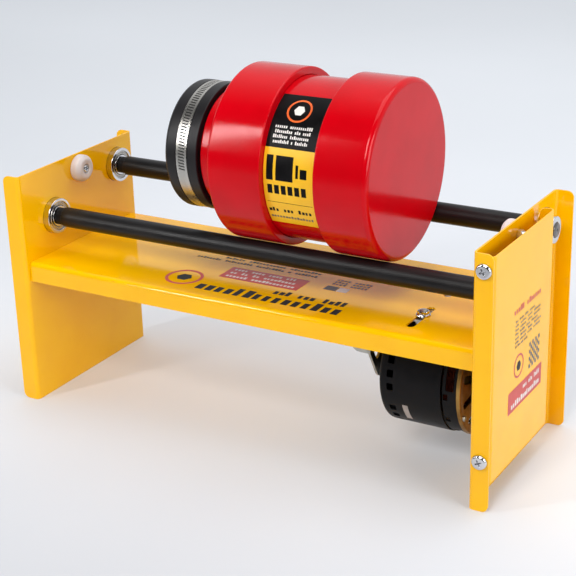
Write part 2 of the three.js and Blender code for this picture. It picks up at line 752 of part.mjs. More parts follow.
function motorEndBell() {
  const x = at(MOTOR_RIGHT);
  const bell = turned([
    [x, MOTOR_R - 3],
    [x, MOTOR_R],
    [x + 4.4, MOTOR_R - 1],
    [x + 4.4, MOTOR_R - 7],
    [x + 8, 24],
    [x + 8, MOTOR_HUB_R],
    [x + 20, MOTOR_HUB_R],
    [x + 20, MOTOR_SHAFT_R + GAP],
    [x + 6, MOTOR_SHAFT_R + GAP],
    [x + 6, 24],
    [x + 2.4, MOTOR_R - 7],
    [x + 2.4, MOTOR_R - 3],
  ], MOTOR, LARGE);
  const slots = [];
  for (let i = 0; i < BELL_SLOTS; i += 1) {
    const slot = extrude(stadium(0, 45, 11, 4.4), 14, 2).rotateX(Math.PI / 2).rotateZ(Math.PI / 2);
    slots.push(slot.rotateX(((i + 0.5) / BELL_SLOTS) * 2 * Math.PI).translate(x, ...MOTOR));
  }
  return shaped(bell, { cut: slots });
}
add('motor_end_bell', motorEndBell(), ZINC);

// Laminated core, with the copper winding heads standing out of both its ends
const coreLeft = at(MOTOR_LEFT) + 35;
const coreRight = at(MOTOR_SPLIT) - 4;
const coreR = MOTOR_R - MOTOR_WALL - 3 * GAP;
add('motor_core', tube(coreLeft, coreRight, 31, coreR, MOTOR, MEDIUM), CAST);
for (const [end, x, side] of [['left', coreLeft, -1], ['right', coreRight, 1]]) {
  const near = x + side * GAP;
  const far = x + side * 12;
  const coil = turned([
    [near, 36],
    [near, 54],
    [far, 50],
    [far, 40],
  ], MOTOR);
  add(`motor_winding_${end}`, coil, COPPER);
}

const motorShaftTip = PULLEY_X + PULLEY_WIDTH + 0.6;
const rotor = [
  [at(MOTOR_LEFT) - HUB_LENGTH - 2, 0],
  [at(MOTOR_LEFT) - HUB_LENGTH - 2, MOTOR_SHAFT_R],
  [coreLeft, MOTOR_SHAFT_R],
  [coreLeft, 30.2],
  [coreRight, 30.2],
  [coreRight, MOTOR_SHAFT_R],
  [motorShaftTip - 1, MOTOR_SHAFT_R],
  [motorShaftTip, MOTOR_SHAFT_R - 0.8],
  [motorShaftTip, 0],
];
add('motor_rotor', turned(rotor, MOTOR, SMALL), STEEL);

function motorFan() {
  const x = at(MOTOR_LEFT) + 3.4;
  const hub = tube(x, x + 7, MOTOR_SHAFT_R + GAP, 12, MOTOR, SMALL);
  const disc = tube(x + 1.6, x + 3, 10, 34, MOTOR, SMALL);
  const blades = [];
  const count = 6;
  for (let i = 0; i < count; i += 1) {
    const blade = block([x + 2, -0.7, 11], [x + 7, 0.7, 50]);
    blades.push(blade.rotateX((i / count) * 2 * Math.PI).translate(0, ...MOTOR));
  }
  return shaped(hub, { joined: [disc, ...blades] });
}
add('motor_fan', motorFan(), BLACK_PAINT);

// Cradle: a plate under the shelf with an arm down to a rubber ring at each end of the motor
const cradleTop = SHELF_TOP - SHEET - GAP;
const armLeft = at(MOTOR_LEFT) - HUB_LENGTH + 2;
const armRight = at(MOTOR_RIGHT) + 11;

function arm(shoulder, foot) {
  const [y, z] = MOTOR;
  return outline([
    [y - shoulder, cradleTop, 0],
    [y - shoulder, z + 22, 4],
    [y - foot, z - 12, 10],
    [y + foot, z - 12, 10],
    [y + shoulder, z + 22, 4],
    [y + shoulder, cradleTop, 0],
  ]);
}

function motorCradle() {
  const [y, z] = MOTOR;
  const floor = cradleTop - CRADLE_SHEET;
  const end = armRight + CRADLE_SHEET;
  const plate = block([armLeft, y - CRADLE_HALF, floor], [end, y + CRADLE_HALF, cradleTop]);
  const joined = [
    extrudeAlongX(arm(CRADLE_HALF, 33), armLeft, armLeft + CRADLE_SHEET),
    extrudeAlongX(arm(34, 30), armRight, end),
  ];
  for (const side of [-1, 1]) {
    const lip = outline([
      [armLeft + 1, z + 22, 0],
      [armLeft - 21, z + 22, 12],
      [armLeft - 21, cradleTop, 0],
      [armLeft + 1, cradleTop, 0],
    ]);
    const inner = y + side * (CRADLE_HALF - CRADLE_SHEET);
    const faces = [y + side * CRADLE_HALF, inner].sort((p, q) => p - q);
    joined.push(extrudeAlongY(lip, ...faces));
  }
  const wide = [armLeft - 1, end + 1];
  const cut = [rod(...wide, RING_R + GAP, MOTOR, SMALL)];
  for (const side of [-1, 1]) {
    const window = outline([
      [y + side * 28, z + 26, 3],
      [y + side * 42, z + 30, 3],
      [y + side * 42, z + 54, 3],
      [y + side * 14, z + 54, 3],
      [y + side * 14, z + 30, 3],
    ]);
    cut.push(extrudeAlongX(window, armLeft - 1, armLeft + CRADLE_SHEET + 1));
    const spot = [at(BOLT_X), y + side * BOLT_OFFSET];
    cut.push(bar('z', cradleTop - 6, cradleTop + 2, MOTOR_BOLT_HOLE_R, spot));
  }
  return shaped(plate, { joined, cut });
}
add('motor_cradle', motorCradle(), STEEL);

// Rubber rings between the cradle arms and the motor's hubs
for (const [end, x] of [['left', armLeft], ['right', armRight]]) {
  const ring = tube(x - 1.6, x + CRADLE_SHEET + 2, MOTOR_HUB_R + 2 * GAP, RING_R, MOTOR, SMALL);
  add(`motor_ring_${end}`, ring, RUBBER);
}

for (const [place, side] of [['front', -1], ['rear', 1]]) {
  const spot = [at(BOLT_X), MOTOR[0] + side * BOLT_OFFSET];
  const under = cradleTop - CRADLE_SHEET - GAP;
  const nutFloor = SHELF_TOP + GAP;
  const bolt = shaped(bar('z', under - 0.5, nutFloor + NUT_HEIGHT + 0.8, MOTOR_BOLT_R, spot), {
    joined: [bar('z', under - 3, under, 8, spot, SMALL)],
  });
  add(`motor_bolt_${place}`, bolt, STEEL);
  const nut = shaped(bar('z', nutFloor, nutFloor + 1.4, 8, spot, SMALL), {
    joined: [hexagon('z', nutFloor + 1, nutFloor + NUT_HEIGHT, 11, spot)],
    cut: [bar('z', nutFloor - 1, nutFloor + NUT_HEIGHT + 1, MOTOR_BOLT_HOLE_R, spot)],
  });
  add(`motor_nut_${place}`, nut, CHROME);
}

// ---- Belt drive -----------------------------------------------------------------------------
// Pulley with one V groove, a thinner web and a hub on its right
function pulley(axis, radius, boreR, hub) {
  const left = PULLEY_X;
  const right = PULLEY_X + PULLEY_WIDTH;
  const middle = (left + right) / 2;
  const floor = radius - GROOVE - 0.4;
  const profile = [[left, boreR], [left, hub]];
  if (floor - hub > 8) profile.push([left + 3, hub], [left + 3, floor - 5], [left, floor - 3]);
  profile.push(
    [left, radius],
    [left + 0.8, radius],
    [middle - BELT_WIDTH / 2 - 0.4, floor],
    [middle + BELT_WIDTH / 2 + 0.4, floor],
    [right - 0.8, radius],
    [right, radius],
  );
  if (floor - hub > 8) profile.push([right, floor - 3], [right - 3, floor - 5], [right - 3, hub]);
  profile.push([right, hub], [right, boreR]);
  return turned(profile, axis, MEDIUM);
}

function drivePulley() {
  const holes = [];
  const count = 4;
  for (let i = 0; i < count; i += 1) {
    const angle = (i / count) * 2 * Math.PI + 0.4;
    const spot = [
      DRIVE[0] + PULLEY_HOLE_RING * Math.cos(angle),
      DRIVE[1] + PULLEY_HOLE_RING * Math.sin(angle),
    ];
    holes.push(rod(PULLEY_X - 1, PULLEY_X + PULLEY_WIDTH + 1, PULLEY_HOLE_R, spot, TINY));
  }
  return shaped(pulley(DRIVE, DRIVE_PULLEY_R, SHAFT_R + GAP, 15), { cut: holes });
}
add('drive_pulley', drivePulley(), CAST);
add('motor_pulley', pulley(MOTOR, MOTOR_PULLEY_R, MOTOR_SHAFT_R + GAP - 0.05, 8.6), CAST);

// Open loop around both pulleys at a given depth below their rims
function beltLoop(depth, shape) {
  const small = MOTOR_PULLEY_R - depth;
  const large = DRIVE_PULLEY_R - depth;
  const along = new THREE.Vector2(DRIVE[0] - MOTOR[0], DRIVE[1] - MOTOR[1]);
  const heading = along.angle();
  const wrap = Math.acos((large - small) / along.length());
  shape.absarc(...DRIVE, large, heading - (Math.PI - wrap), heading + (Math.PI - wrap));
  shape.absarc(...MOTOR, small, heading + (Math.PI - wrap), heading - (Math.PI - wrap) + 2 * Math.PI);
  shape.closePath();
  return shape;
}

function driveBelt() {
  const ring = beltLoop(0.6, new THREE.Shape());
  ring.holes.push(beltLoop(0.6 + BELT_THICK, new THREE.Path()));
  const middle = PULLEY_X + PULLEY_WIDTH / 2;
  return extrudeAlongX(ring, middle - BELT_WIDTH / 2, middle + BELT_WIDTH / 2, 14);
}
add('drive_belt', driveBelt(), RUBBER);

export default tumbler;
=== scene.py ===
"""Rotary rock tumbler: the visible pieces with their finishes, and the studio they stand in."""
import math
import random

import bmesh
import bpy
from mathutils import Matrix, Vector


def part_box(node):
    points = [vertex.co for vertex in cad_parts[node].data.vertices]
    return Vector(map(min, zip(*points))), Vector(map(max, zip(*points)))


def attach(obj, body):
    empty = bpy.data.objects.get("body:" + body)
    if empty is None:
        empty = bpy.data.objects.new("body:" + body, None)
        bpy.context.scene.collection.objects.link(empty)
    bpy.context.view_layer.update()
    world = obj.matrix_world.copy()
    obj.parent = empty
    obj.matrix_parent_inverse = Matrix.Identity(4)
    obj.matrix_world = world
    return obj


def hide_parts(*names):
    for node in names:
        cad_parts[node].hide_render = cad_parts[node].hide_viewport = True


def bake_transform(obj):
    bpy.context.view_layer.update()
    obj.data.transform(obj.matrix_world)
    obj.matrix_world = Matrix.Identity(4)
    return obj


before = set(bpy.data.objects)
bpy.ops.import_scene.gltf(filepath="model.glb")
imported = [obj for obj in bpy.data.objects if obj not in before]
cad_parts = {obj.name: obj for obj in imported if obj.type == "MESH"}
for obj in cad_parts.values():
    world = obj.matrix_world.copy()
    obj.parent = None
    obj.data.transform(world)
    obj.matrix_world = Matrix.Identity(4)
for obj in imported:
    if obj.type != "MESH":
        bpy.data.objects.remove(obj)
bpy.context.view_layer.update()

MM = 0.001
X, Y, Z = 0, 1, 2


# ---- Where the CAD pieces are, in millimetres ----------------------
def low(node, axis):
    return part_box(node)[0][axis] / MM


def high(node, axis):
    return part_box(node)[1][axis] / MM


def span(node, axis=X):
    return low(node, axis), high(node, axis)


def middle(node, axis):
    return sum(span(node, axis)) / 2


def centre(node):
    """Where the axis of a piece turned about a line along X passes, as (y, z)."""
    return middle(node, Y), middle(node, Z)


GAP = 0.3  # between pieces that touch
SHEET = 2.0
BEND = 5.0
LEFT = high("left_end_plate", X)
RIGHT = low("right_end_plate", X)
EDGE = high("right_end_plate", X)
FRONT = low("right_end_plate", Y)
BACK = high("right_end_plate", Y)
HEIGHT = high("right_end_plate", Z)
MIDDLE = (FRONT + BACK) / 2
SHELF = high("shelf", Z)
FLANGE = EDGE - RIGHT
SHELF_LIP = 22.0
DRIVE = centre("drive_shaft")
IDLER = centre("idler_shaft")
BUMPER = centre("bumper_left")
BARREL = centre("barrel_end_cap")
MOTOR = centre("motor_end_bell")
SHAFT_R = 7.94
SLEEVE_R = 11.1
SLEEVE_NECK_R = 9.6
SLEEVE_END = RIGHT - 17.0
BEARING_R = 20.0
BARREL_R = 92.5
PIPE_R = 84.15
NECK_R = 57.15
LID_R = 68.0
MOTOR_R = 63.5
MOTOR_SHAFT_R = 6.35
RACE_R = 16.6
SHIELD_BORE_R = 12.4


def at(distance):
    """X of a point measured from the inner face of the left plate."""
    return LEFT + distance


# ---- Geometry helpers ----------------------------------------------
def fillet(corners, steps=6):
    """An outline with an arc at each corner that has one; corners are (u, v) or (u, v, radius)."""
    points = []
    for i, corner in enumerate(corners):
        here = Vector(corner[:2])
        size = corner[2] if len(corner) > 2 else 0
        if not size:
            points.append(here)
            continue
        back = (Vector(corners[i - 1][:2]) - here).normalized()
        on = (Vector(corners[(i + 1) % len(corners)][:2]) - here).normalized()
        half = back.angle(on) / 2
        hub = here + (back + on).normalized() * (size / math.sin(half))
        start = here + back * (size / math.tan(half)) - hub
        end = here + on * (size / math.tan(half)) - hub
        sweep = math.atan2(start.x * end.y - start.y * end.x, start.dot(end))
        for k in range(steps + 1):
            turn = sweep * k / steps
            c, s = math.cos(turn), math.sin(turn)
            points.append(hub + Vector((start.x * c - start.y * s, start.x * s + start.y * c)))
    return points


def spin(bm, profile, segments, place, ink=0):
    """Faces of a closed shape whose profile of (t, radius) goes round; place gives each point."""
    rings = []
    for t, r in profile:
        count = segments if r > 1e-6 else 1
        rings.append([bm.verts.new(place(t, r, math.tau * k / segments)) for k in range(count)])
    for near, far in zip(rings, rings[1:] + rings[:1]):
        if len(near) == len(far) == 1:
            continue
        for k in range(segments):
            quad = [
                near[k % len(near)],
                near[(k + 1) % len(near)],
                far[(k + 1) % len(far)],
                far[k % len(far)],
            ]
            bm.faces.new(list(dict.fromkeys(quad))).material_index = ink


def link(name, bm):
    bmesh.ops.recalc_face_normals(bm, faces=bm.faces)
    mesh = bpy.data.meshes.new(name)
    bm.to_mesh(mesh)
    bm.free()
    mesh.transform(Matrix.Scale(MM, 4))
    piece = bpy.data.objects.new(name, mesh)
    bpy.context.scene.collection.objects.link(piece)
    return piece


def lathe(name, profile, place, along="x", segments=96, steps=5, wave=0.0, waves=1):
    """A piece turned about a line along X, Y or Z; profile corners are (t, radius[, fillet])."""
    a, b = place
    turns = {
        "x": lambda t, u, v: (t, a + u, b + v),
        "y": lambda t, u, v: (a + u, t, b + v),
        "z": lambda t, u, v: (a + u, b + v, t),
    }

    def point(t, r, w):
        r += wave * math.cos(waves * w) if r > 1e-6 else 0
        return turns[along](t, r * math.cos(w), r * math.sin(w))

    bm = bmesh.new()
    spin(bm, fillet(profile, steps), segments, point)
    return link(name, bm)


def prism(name, outline, order, start, end):
    """An outline drawn in the first two axes of order, and extruded along the third."""
    spots = ["xyz".index(letter) for letter in order]
    bm = bmesh.new()

    def layer(t):
        made = []
        for u, v in outline:
            point = [0.0, 0.0, 0.0]
            for spot, value in zip(spots, (u, v, t)):
                point[spot] = value
            made.append(bm.verts.new(point))
        return made

    near, far = layer(start), layer(end)
    bm.faces.new(near)
    bm.faces.new(far[::-1])
    for k in range(len(near)):
        on = (k + 1) % len(near)
        bm.faces.new([near[k], near[on], far[on], far[k]])
    return link(name, bm)


def polar(hub, r, turn):
    return hub[0] + r * math.cos(turn), hub[1] + r * math.sin(turn)


def circle(u, v, r, count=48, phase=0.0):
    return [polar((u, v), r, phase + math.tau * k / count) for k in range(count)]


def rectangle(u0, v0, u1, v1, radius=0.0):
    return fillet([(u0, v0, radius), (u1, v0, radius), (u1, v1, radius), (u0, v1, radius)], 4)


def block(name, start, end):
    return prism(name, rectangle(start[0], start[1], end[0], end[1]), "xyz", start[2], end[2])


ORDER = {"x": "yzx", "y": "xzy", "z": "xyz"}


def rod(start, end, r, place, along="x", count=48):
    return prism("rod", circle(*place, r, count), ORDER[along], start, end)


def settle(piece):
    """Applies the piece's modifiers to its mesh."""
    bpy.context.view_layer.update()
    graph = bpy.context.evaluated_depsgraph_get()
    mesh = bpy.data.meshes.new_from_object(piece.evaluated_get(graph))
    piece.modifiers.clear()
    piece.data = mesh


def carve(piece, tools, operation="DIFFERENCE"):
    """Cuts, joins or intersects a piece with tools that don't overlap each other."""
    bm = bmesh.new()
    for tool in tools:
        bm.from_mesh(tool.data)
        bpy.data.objects.remove(tool)
    mesh = bpy.data.meshes.new("tools")
    bm.to_mesh(mesh)
    bm.free()
    joined = bpy.data.objects.new("tools", mesh)
    bpy.context.scene.collection.objects.link(joined)
    change = piece.modifiers.new("change", "BOOLEAN")
    change.operation = operation
    change.solver = "EXACT"
    change.object = joined
    settle(piece)
    bpy.data.objects.remove(joined)
    return piece


def turn_round(piece, angle, place):
    """Turns a tool made about the origin by an angle about X, and moves it to an axis at (y, z)."""
    shift = Matrix.Translation((0, place[0] * MM, place[1] * MM))
    piece.data.transform(shift @ Matrix.Rotation(angle, 4, "X"))
    return piece


def dress(piece, material, body, nodes=(), bevel=0.0, segments=3):
    """Softens a piece's edges, shades it, gives it a finish, and puts it on its body."""
    if bevel:
        edge = piece.modifiers.new("edge", "BEVEL")
        edge.width = bevel * MM
        edge.segments = segments
        edge.limit_method = "ANGLE"
        edge.angle_limit = math.radians(40)
        settle(piece)
    piece.data.shade_smooth()
    piece.data.set_sharp_from_angle(angle=math.radians(48))
    smooth = piece.modifiers.new("normals", "WEIGHTED_NORMAL")
    smooth.keep_sharp = True
    settle(piece)
    if material is not None:
        piece.data.materials.clear()
        piece.data.materials.append(material)
    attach(piece, body)
    if nodes:
        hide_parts(*nodes)
    return piece


# ---- Finishes ------------------------------------------------------
def linear(code):
    """A colour written as six hex digits, as linear light."""
    parts = [int(code[i : i + 2], 16) / 255 for i in (0, 2, 4)]
    return (*[c / 12.92 if c < 0.04045 else ((c + 0.055) / 1.055) ** 2.4 for c in parts], 1.0)


class Graph:
    """Adds nodes to a material, with their inputs and settings."""

    def __init__(self, tree):
        self.tree = tree

    def add(self, kind, inputs=None, **settings):
        made = self.tree.nodes.new(kind)
        for key, value in settings.items():
            setattr(made, key, value)
        for key, value in (inputs or {}).items():
            self.put(made, key, value)
        return made

    def put(self, made, key, value):
        if isinstance(value, bpy.types.NodeSocket):
            self.tree.links.new(value, made.inputs[key])
        else:
            made.inputs[key].default_value = value

    def math(self, operation, a, b=0.0):
        return self.add("ShaderNodeMath", {0: a, 1: b}, operation=operation).outputs[0]

    def noise(self, place, scale, detail=3.0):
        made = self.add("ShaderNodeTexNoise", {"Vector": place, "Scale": scale, "Detail": detail})
        return made.outputs["Fac"]


def finish(
    name,
    colour,
    shade,
    rough,
    metallic=0.0,
    patch=22.0,
    grain=500.0,
    relief=0.05,
    depth=0.2,
    stretch=(1, 1, 1),
    scuffs=0.0,
    bands=None,
    shine=0.5,
    more=None,
):
    """A finish whose colour drifts to shade in patches, with fine relief, scuffs and optional bands.

    rough is its (lowest, highest) roughness; bands is (direction, scale, share of the relief);
    shine is its specular level, and more holds any other input of the shader."""
    material = bpy.data.materials.new(name)
    material.use_nodes = True
    graph = Graph(material.node_tree)
    shader = graph.tree.nodes["Principled BSDF"]
    place = graph.add("ShaderNodeTexCoord").outputs["Object"]
    place = graph.add("ShaderNodeMapping", {"Vector": place, "Scale": stretch}).outputs[0]
    cloud = graph.noise(place, patch, 5.0)
    fine = graph.noise(place, grain, 2.0)
    drift = graph.add("ShaderNodeMapRange", {0: cloud, 1: 0.35, 2: 0.65}).outputs[0]
    tint = {0: drift, 6: linear(colour), 7: linear(shade)}
    base = graph.add("ShaderNodeMix", tint, data_type="RGBA").outputs[2]
    mixed = graph.math("ADD", graph.math("MULTIPLY", cloud, 0.5), graph.math("MULTIPLY", fine, 0.5))
    levels = {0: mixed, 1: 0.3, 2: 0.7, 3: rough[0], 4: rough[1]}
    roughness = graph.add("ShaderNodeMapRange", levels).outputs[0]
    height = fine
    if scuffs:  # thin lines where one noise crosses its middle, kept where another is high
        line = graph.math("ABSOLUTE", graph.math("SUBTRACT", graph.noise(place, 35.0, 1.0), 0.5))
        line = graph.math("LESS_THAN", line, 0.0025)
        worn = graph.math("GREATER_THAN", graph.noise(place, 14.0), 0.54)
        line = graph.math("MULTIPLY", graph.math("MULTIPLY", line, worn), scuffs)
        roughness = graph.math("ADD", roughness, line)
        height = graph.math("SUBTRACT", height, line)
    if bands:
        direction, scale, share = bands
        wave = graph.add("ShaderNodeTexWave", {"Vector": place, "Scale": scale}, bands_direction=direction)
        height = graph.math("ADD", height, graph.math("MULTIPLY", wave.outputs["Fac"], share))
    bump = {"Strength": relief, "Distance": depth * MM, "Height": height}
    graph.put(shader, "Base Color", base)
    graph.put(shader, "Roughness", roughness)
    graph.put(shader, "Normal", graph.add("ShaderNodeBump", bump).outputs[0])
    graph.put(shader, "Metallic", metallic)
    graph.put(shader, "Specular IOR Level", shine)
    for key, value in (more or {}).items():
        graph.put(shader, key, value)
    return material


YELLOW = finish(
    "yellow_powder_coat", "FBBD00", "F8B700", (0.05, 0.1), grain=420, relief=0.012, scuffs=0.02, shine=0.42
)
RED = finish(
    "red_gloss_paint", "C60010", "BD000D", (0.1, 0.17), grain=240, relief=0.02, scuffs=0.02, shine=0.24
)
RUBBER = finish(
    "black_rubber", "0E0C0D", "151314", (0.3, 0.48), grain=900, relief=0.15, scuffs=0.1, shine=0.32
)
LID_RUBBER = finish("lid_rubber", "100F11", "1A181B", (0.3, 0.5), grain=700, relief=0.2, shine=0.35)
CHROME = finish("bright_chrome", "DCDCDE", "C9C9CC", (0.08, 0.18), 1.0, patch=60, relief=0.03)
SHAFT = finish(
    "ground_steel", "6E6B69", "817D79", (0.2, 0.34), 1.0, patch=40, relief=0.08, bands=("X", 900, 0.3)
)
STEEL = finish(
    "bare_steel", "8E8C8A", "A6A4A0", (0.25, 0.42), 1.0, 40, 700, relief=0.1, bands=("X", 900, 0.3)
)
STAINLESS = finish(
    "brushed_stainless", "C9C6C0", "B5B2AC", (0.22, 0.36), 1.0, stretch=(6, 1, 1), grain=400, relief=0.15
)
ZINC = finish("zinc_plate", "BDBBB4", "A39F92", (0.25, 0.45), 1.0, patch=90, grain=600, relief=0.12)
SHIELD = finish("bearing_shield", "B9B6B0", "A8A49C", (0.2, 0.32), 1.0, patch=120, relief=0.06)
OXIDE = finish("black_oxide", "242221", "302D2B", (0.3, 0.45), 0.7, patch=150, relief=0.1)
NYLON = finish(
    "nylon", "E0D6D4", "D6C9C6", (0.35, 0.5), patch=60, relief=0.06,
    more={"Subsurface Weight": 0.25, "Subsurface Radius": (0.004, 0.003, 0.002)},
)
MOTOR_PAINT = finish(
    "black_motor_paint", "070607", "0D0B0C", (0.35, 0.5), 0, 70, 800, relief=0.2, scuffs=0.12, shine=0.15
)
GOLD = finish("yellow_zinc", "B98F4E", "8E6B3C", (0.25, 0.45), 1.0, patch=70, grain=500, relief=0.2)
COPPER = finish(
    "enamelled_copper", "4A1A12", "6E2E1C", (0.25, 0.4), 0.7, 150, relief=0.8, depth=0.6, bands=("X", 260, 1)
)
CORE = finish(
    "laminated_steel", "5B5A5C", "707072", (0.35, 0.55), 0.9, relief=0.6, depth=0.5, bands=("X", 320, 1.0)
)
CAST = finish("cast_iron", "5C5D60", "717276", (0.4, 0.6), 0.9, patch=120, grain=900, relief=0.4)
PLASTIC = finish("fan_plastic", "1A1A1C", "242426", (0.4, 0.55), patch=80, relief=0.15)
BELT = finish(
    "belt_rubber", "141414", "222222", (0.55, 0.75), patch=200, grain=1200, relief=0.6, bands=("Z", 500, 0.4)
)
PLATE = finish("data_plate", "C4B9B2", "B3A79F", (0.35, 0.5), 0.6, patch=120, relief=0.1)
INKS = [
    finish("black_vinyl", "0B0A0B", "121112", (0.28, 0.38), patch=60, shine=0.12),
    finish("yellow_vinyl", "F5BE1A", "F0B710", (0.28, 0.38), patch=60),
    finish("red_vinyl", "C8372B", "C03026", (0.28, 0.38), patch=60),
    finish("white_vinyl", "E9E4DF", "DFD9D4", (0.3, 0.4), patch=60),
    finish("grey_vinyl", "5A555B", "676268", (0.3, 0.4), patch=60, shine=0.2),
    finish("orange_vinyl", "E5672A", "DB5A22", (0.28, 0.38), patch=60),
]
BLACK_INK, YELLOW_INK, RED_INK, WHITE_INK, GREY_INK, ORANGE_INK = range(6)


# ---- Folded frame --------------------------------------------------
GUARD_SHEET = 1.5
PLATE_CORNER = 7
M6_HOLE_R = 3.3
SCREW_HOLE_R = 3.4
shelf_bolt_y = [middle(f"shelf_bolt_right_{place}", Y) for place in ("front", "rear")]
shelf_bolt_z = middle("shelf_bolt_right_front", Z)
guard_screw_x = middle("guard_screw_upper", X)
guard_screw_z = [middle(f"guard_screw_{place}", Z) for place in ("upper", "lower")]


def channel(width, start, end, sheet):
    """Section of a folded channel: its web on u = 0, and flanges that reach to +width."""
    inside = BEND - sheet
    corners = [
        (width, start), (0, start, BEND), (0, end, BEND), (width, end), (width, end - sheet),
        (sheet, end - sheet, inside), (sheet, start + sheet, inside), (width, start + sheet),
    ]
    return fillet(corners, 8)


def end_plate(name, side, node):
    face = side * RIGHT
    section = [(face + side * u, v) for u, v in channel(FLANGE, FRONT, BACK, SHEET)]
    plate = prism(name, section, "xyz", 0, HEIGHT)
    edge = side * EDGE
    corners = [(face - side, 0), (edge, 0, PLATE_CORNER), (edge, HEIGHT, PLATE_CORNER), (face - side, HEIGHT)]
    carve(plate, [prism("view", fillet(corners), "xzy", FRONT - 1, BACK + 1)], "INTERSECT")
    wall = (face - 4, face + 4)
    holes = [rod(*wall, BEARING_R + GAP, axis, count=64) for axis in (DRIVE, IDLER)]
    holes.append(rod(*wall, SCREW_HOLE_R, BUMPER))
    holes += [rod(*wall, M6_HOLE_R, (y, shelf_bolt_z)) for y in shelf_bolt_y]
    if side > 0:
        y, z = MOTOR
        holes.append(prism("slot", rectangle(y - 32, z - 22, y + 26, z + 22, 21), "yzx", *wall))
        depth = (FRONT - 1, FRONT + SHEET + 1)
        holes += [rod(*depth, SCREW_HOLE_R, (guard_screw_x, z), "y") for z in guard_screw_z]
    carve(plate, holes)
    return dress(plate, YELLOW, "frame", [node], bevel=0.35)


end_plate("left_end_panel", -1, "left_end_plate")
end_plate("right_end_panel", 1, "right_end_plate")

nut_spots = {place: [middle(f"motor_nut_{place}", axis) for axis in range(3)] for place in ("front", "rear")}


def shelf():
    section = channel(SHELF_LIP, *span("shelf", Y), SHEET)
    ends = (LEFT + GAP, RIGHT - GAP)
    pan = prism("shelf_pan", [(SHELF - u, v) for u, v in section], "zyx", *ends)
    bottom = low("shelf", Z)
    tab_reach, slot_reach, slot_half = 74, 28, 4.4
    tabs = [
        block("tab", (x, MIDDLE - tab_reach, bottom), (x + SHEET, MIDDLE + tab_reach, SHELF - 1))
        for x in (ends[0], ends[1] - SHEET)
    ]
    carve(pan, tabs, "UNION")
    x = nut_spots["front"][0]
    cuts = []
    for y in (MOTOR[0] - 49.2, MOTOR[0] + 39.2):  # the motor slides further forward than back
        outline = rectangle(x - slot_half, y - slot_reach, x + slot_half, y + slot_reach, slot_half - 0.01)
        cuts.append(prism("slot", outline, "xyz", SHELF - 5, SHELF + 3))
    for side in (-1, 1):
        inner = side * (RIGHT - GAP)
        cuts += [rod(inner - 4, inner + 4, M6_HOLE_R, (y, shelf_bolt_z)) for y in shelf_bolt_y]
    carve(pan, cuts)
    return dress(pan, YELLOW, "frame", ["shelf"], bevel=0.35)


shelf()


def belt_guard():
    front, rear = span("belt_guard", Y)
    bottom, top = span("belt_guard", Z)
    inner = low("belt_guard", X)
    section = [(EDGE - u, v) for u, v in channel(EDGE - inner, front, rear, GUARD_SHEET)]
    cover = prism("guard_cover", section, "xyz", bottom, top)
    corners = [(inner, bottom, PLATE_CORNER), (EDGE + 1, bottom), (EDGE + 1, top), (inner, top, PLATE_CORNER)]
    carve(cover, [prism("view", fillet(corners), "xzy", front - 1, rear + 1)], "INTERSECT")
    carve(cover, [rod(front - 1, front + 3, SCREW_HOLE_R, (guard_screw_x, z), "y") for z in guard_screw_z])
    return dress(cover, YELLOW, "frame", ["belt_guard"], bevel=0.3)


belt_guard()


# ---- Screws and nuts -----------------------------------------------
def threads(start, end, r, pitch=1.0):
    """Profile corners of a thread from start to end."""
    depth = 0.35
    count = max(2, int(abs(end - start) / pitch))
    points = []
    for k in range(count):
        t = start + (end - start) * k / count
        points += [(t, r), (t + (end - start) / count / 2, r - depth)]
    return points + [(end, r)]


def hex_nut(name, along, start, end, flats, place, bore, phase=0.0):
    """Hexagon nut with chamfered corners and a round bore, if it has one."""
    corner = flats / math.sqrt(3)
    nut = prism(name, circle(*place, corner, 6, phase), ORDER[along], start, end)
    step = 1.1 if end > start else -1.1
    clear = corner + 0.2
    cone = [(start, 0), (start, flats / 2), (start + step, clear), (end - step, clear)]
    carve(nut, [lathe("cone", cone + [(end, flats / 2), (end, 0)], place, along, 48)], "INTERSECT")
    if bore:
        carve(nut, [rod(start - step, end + step, bore, place, along)])
    return nut


def guard_screw(place, z):
    under = FRONT - GAP
    top = low(f"guard_screw_{place}", Y)
    head = [(top, 0), (top, 7.2, 2.6), (under - 0.9, 8.0, 0.8), (under, 8.0, 0.2), (under, 2.9)]
    shank = threads(under + 1, under + 11.4, 2.9) + [(under + 12, 2.2), (under + 12, 0)]
    screw = lathe(f"guard_screw_head_{place}", head + shank, (guard_screw_x, z), "y")
    c, s = math.cos(0.5), math.sin(0.5)
    for half_x, half_z in ((0.85, 3.7), (3.7, 0.85)):
        bar = rectangle(-half_x, -half_z, half_x, half_z, 0.4)
        outline = [(guard_screw_x + u * c - v * s, z + u * s + v * c) for u, v in bar]
        carve(screw, [prism("recess", outline, "xzy", top - 1, under - 1.2)])
    return dress(screw, CHROME, "frame", [f"guard_screw_{place}"], bevel=0.12)


for place, z in zip(("upper", "lower"), guard_screw_z):
    guard_screw(place, z)
    node = f"guard_nut_{place}"
    nut = hex_nut(f"guard_lock_nut_{place}", "y", *span(node, Y), 10, (guard_screw_x, z), 3.2)
    dress(nut, STEEL, "frame", [node], bevel=0.15)


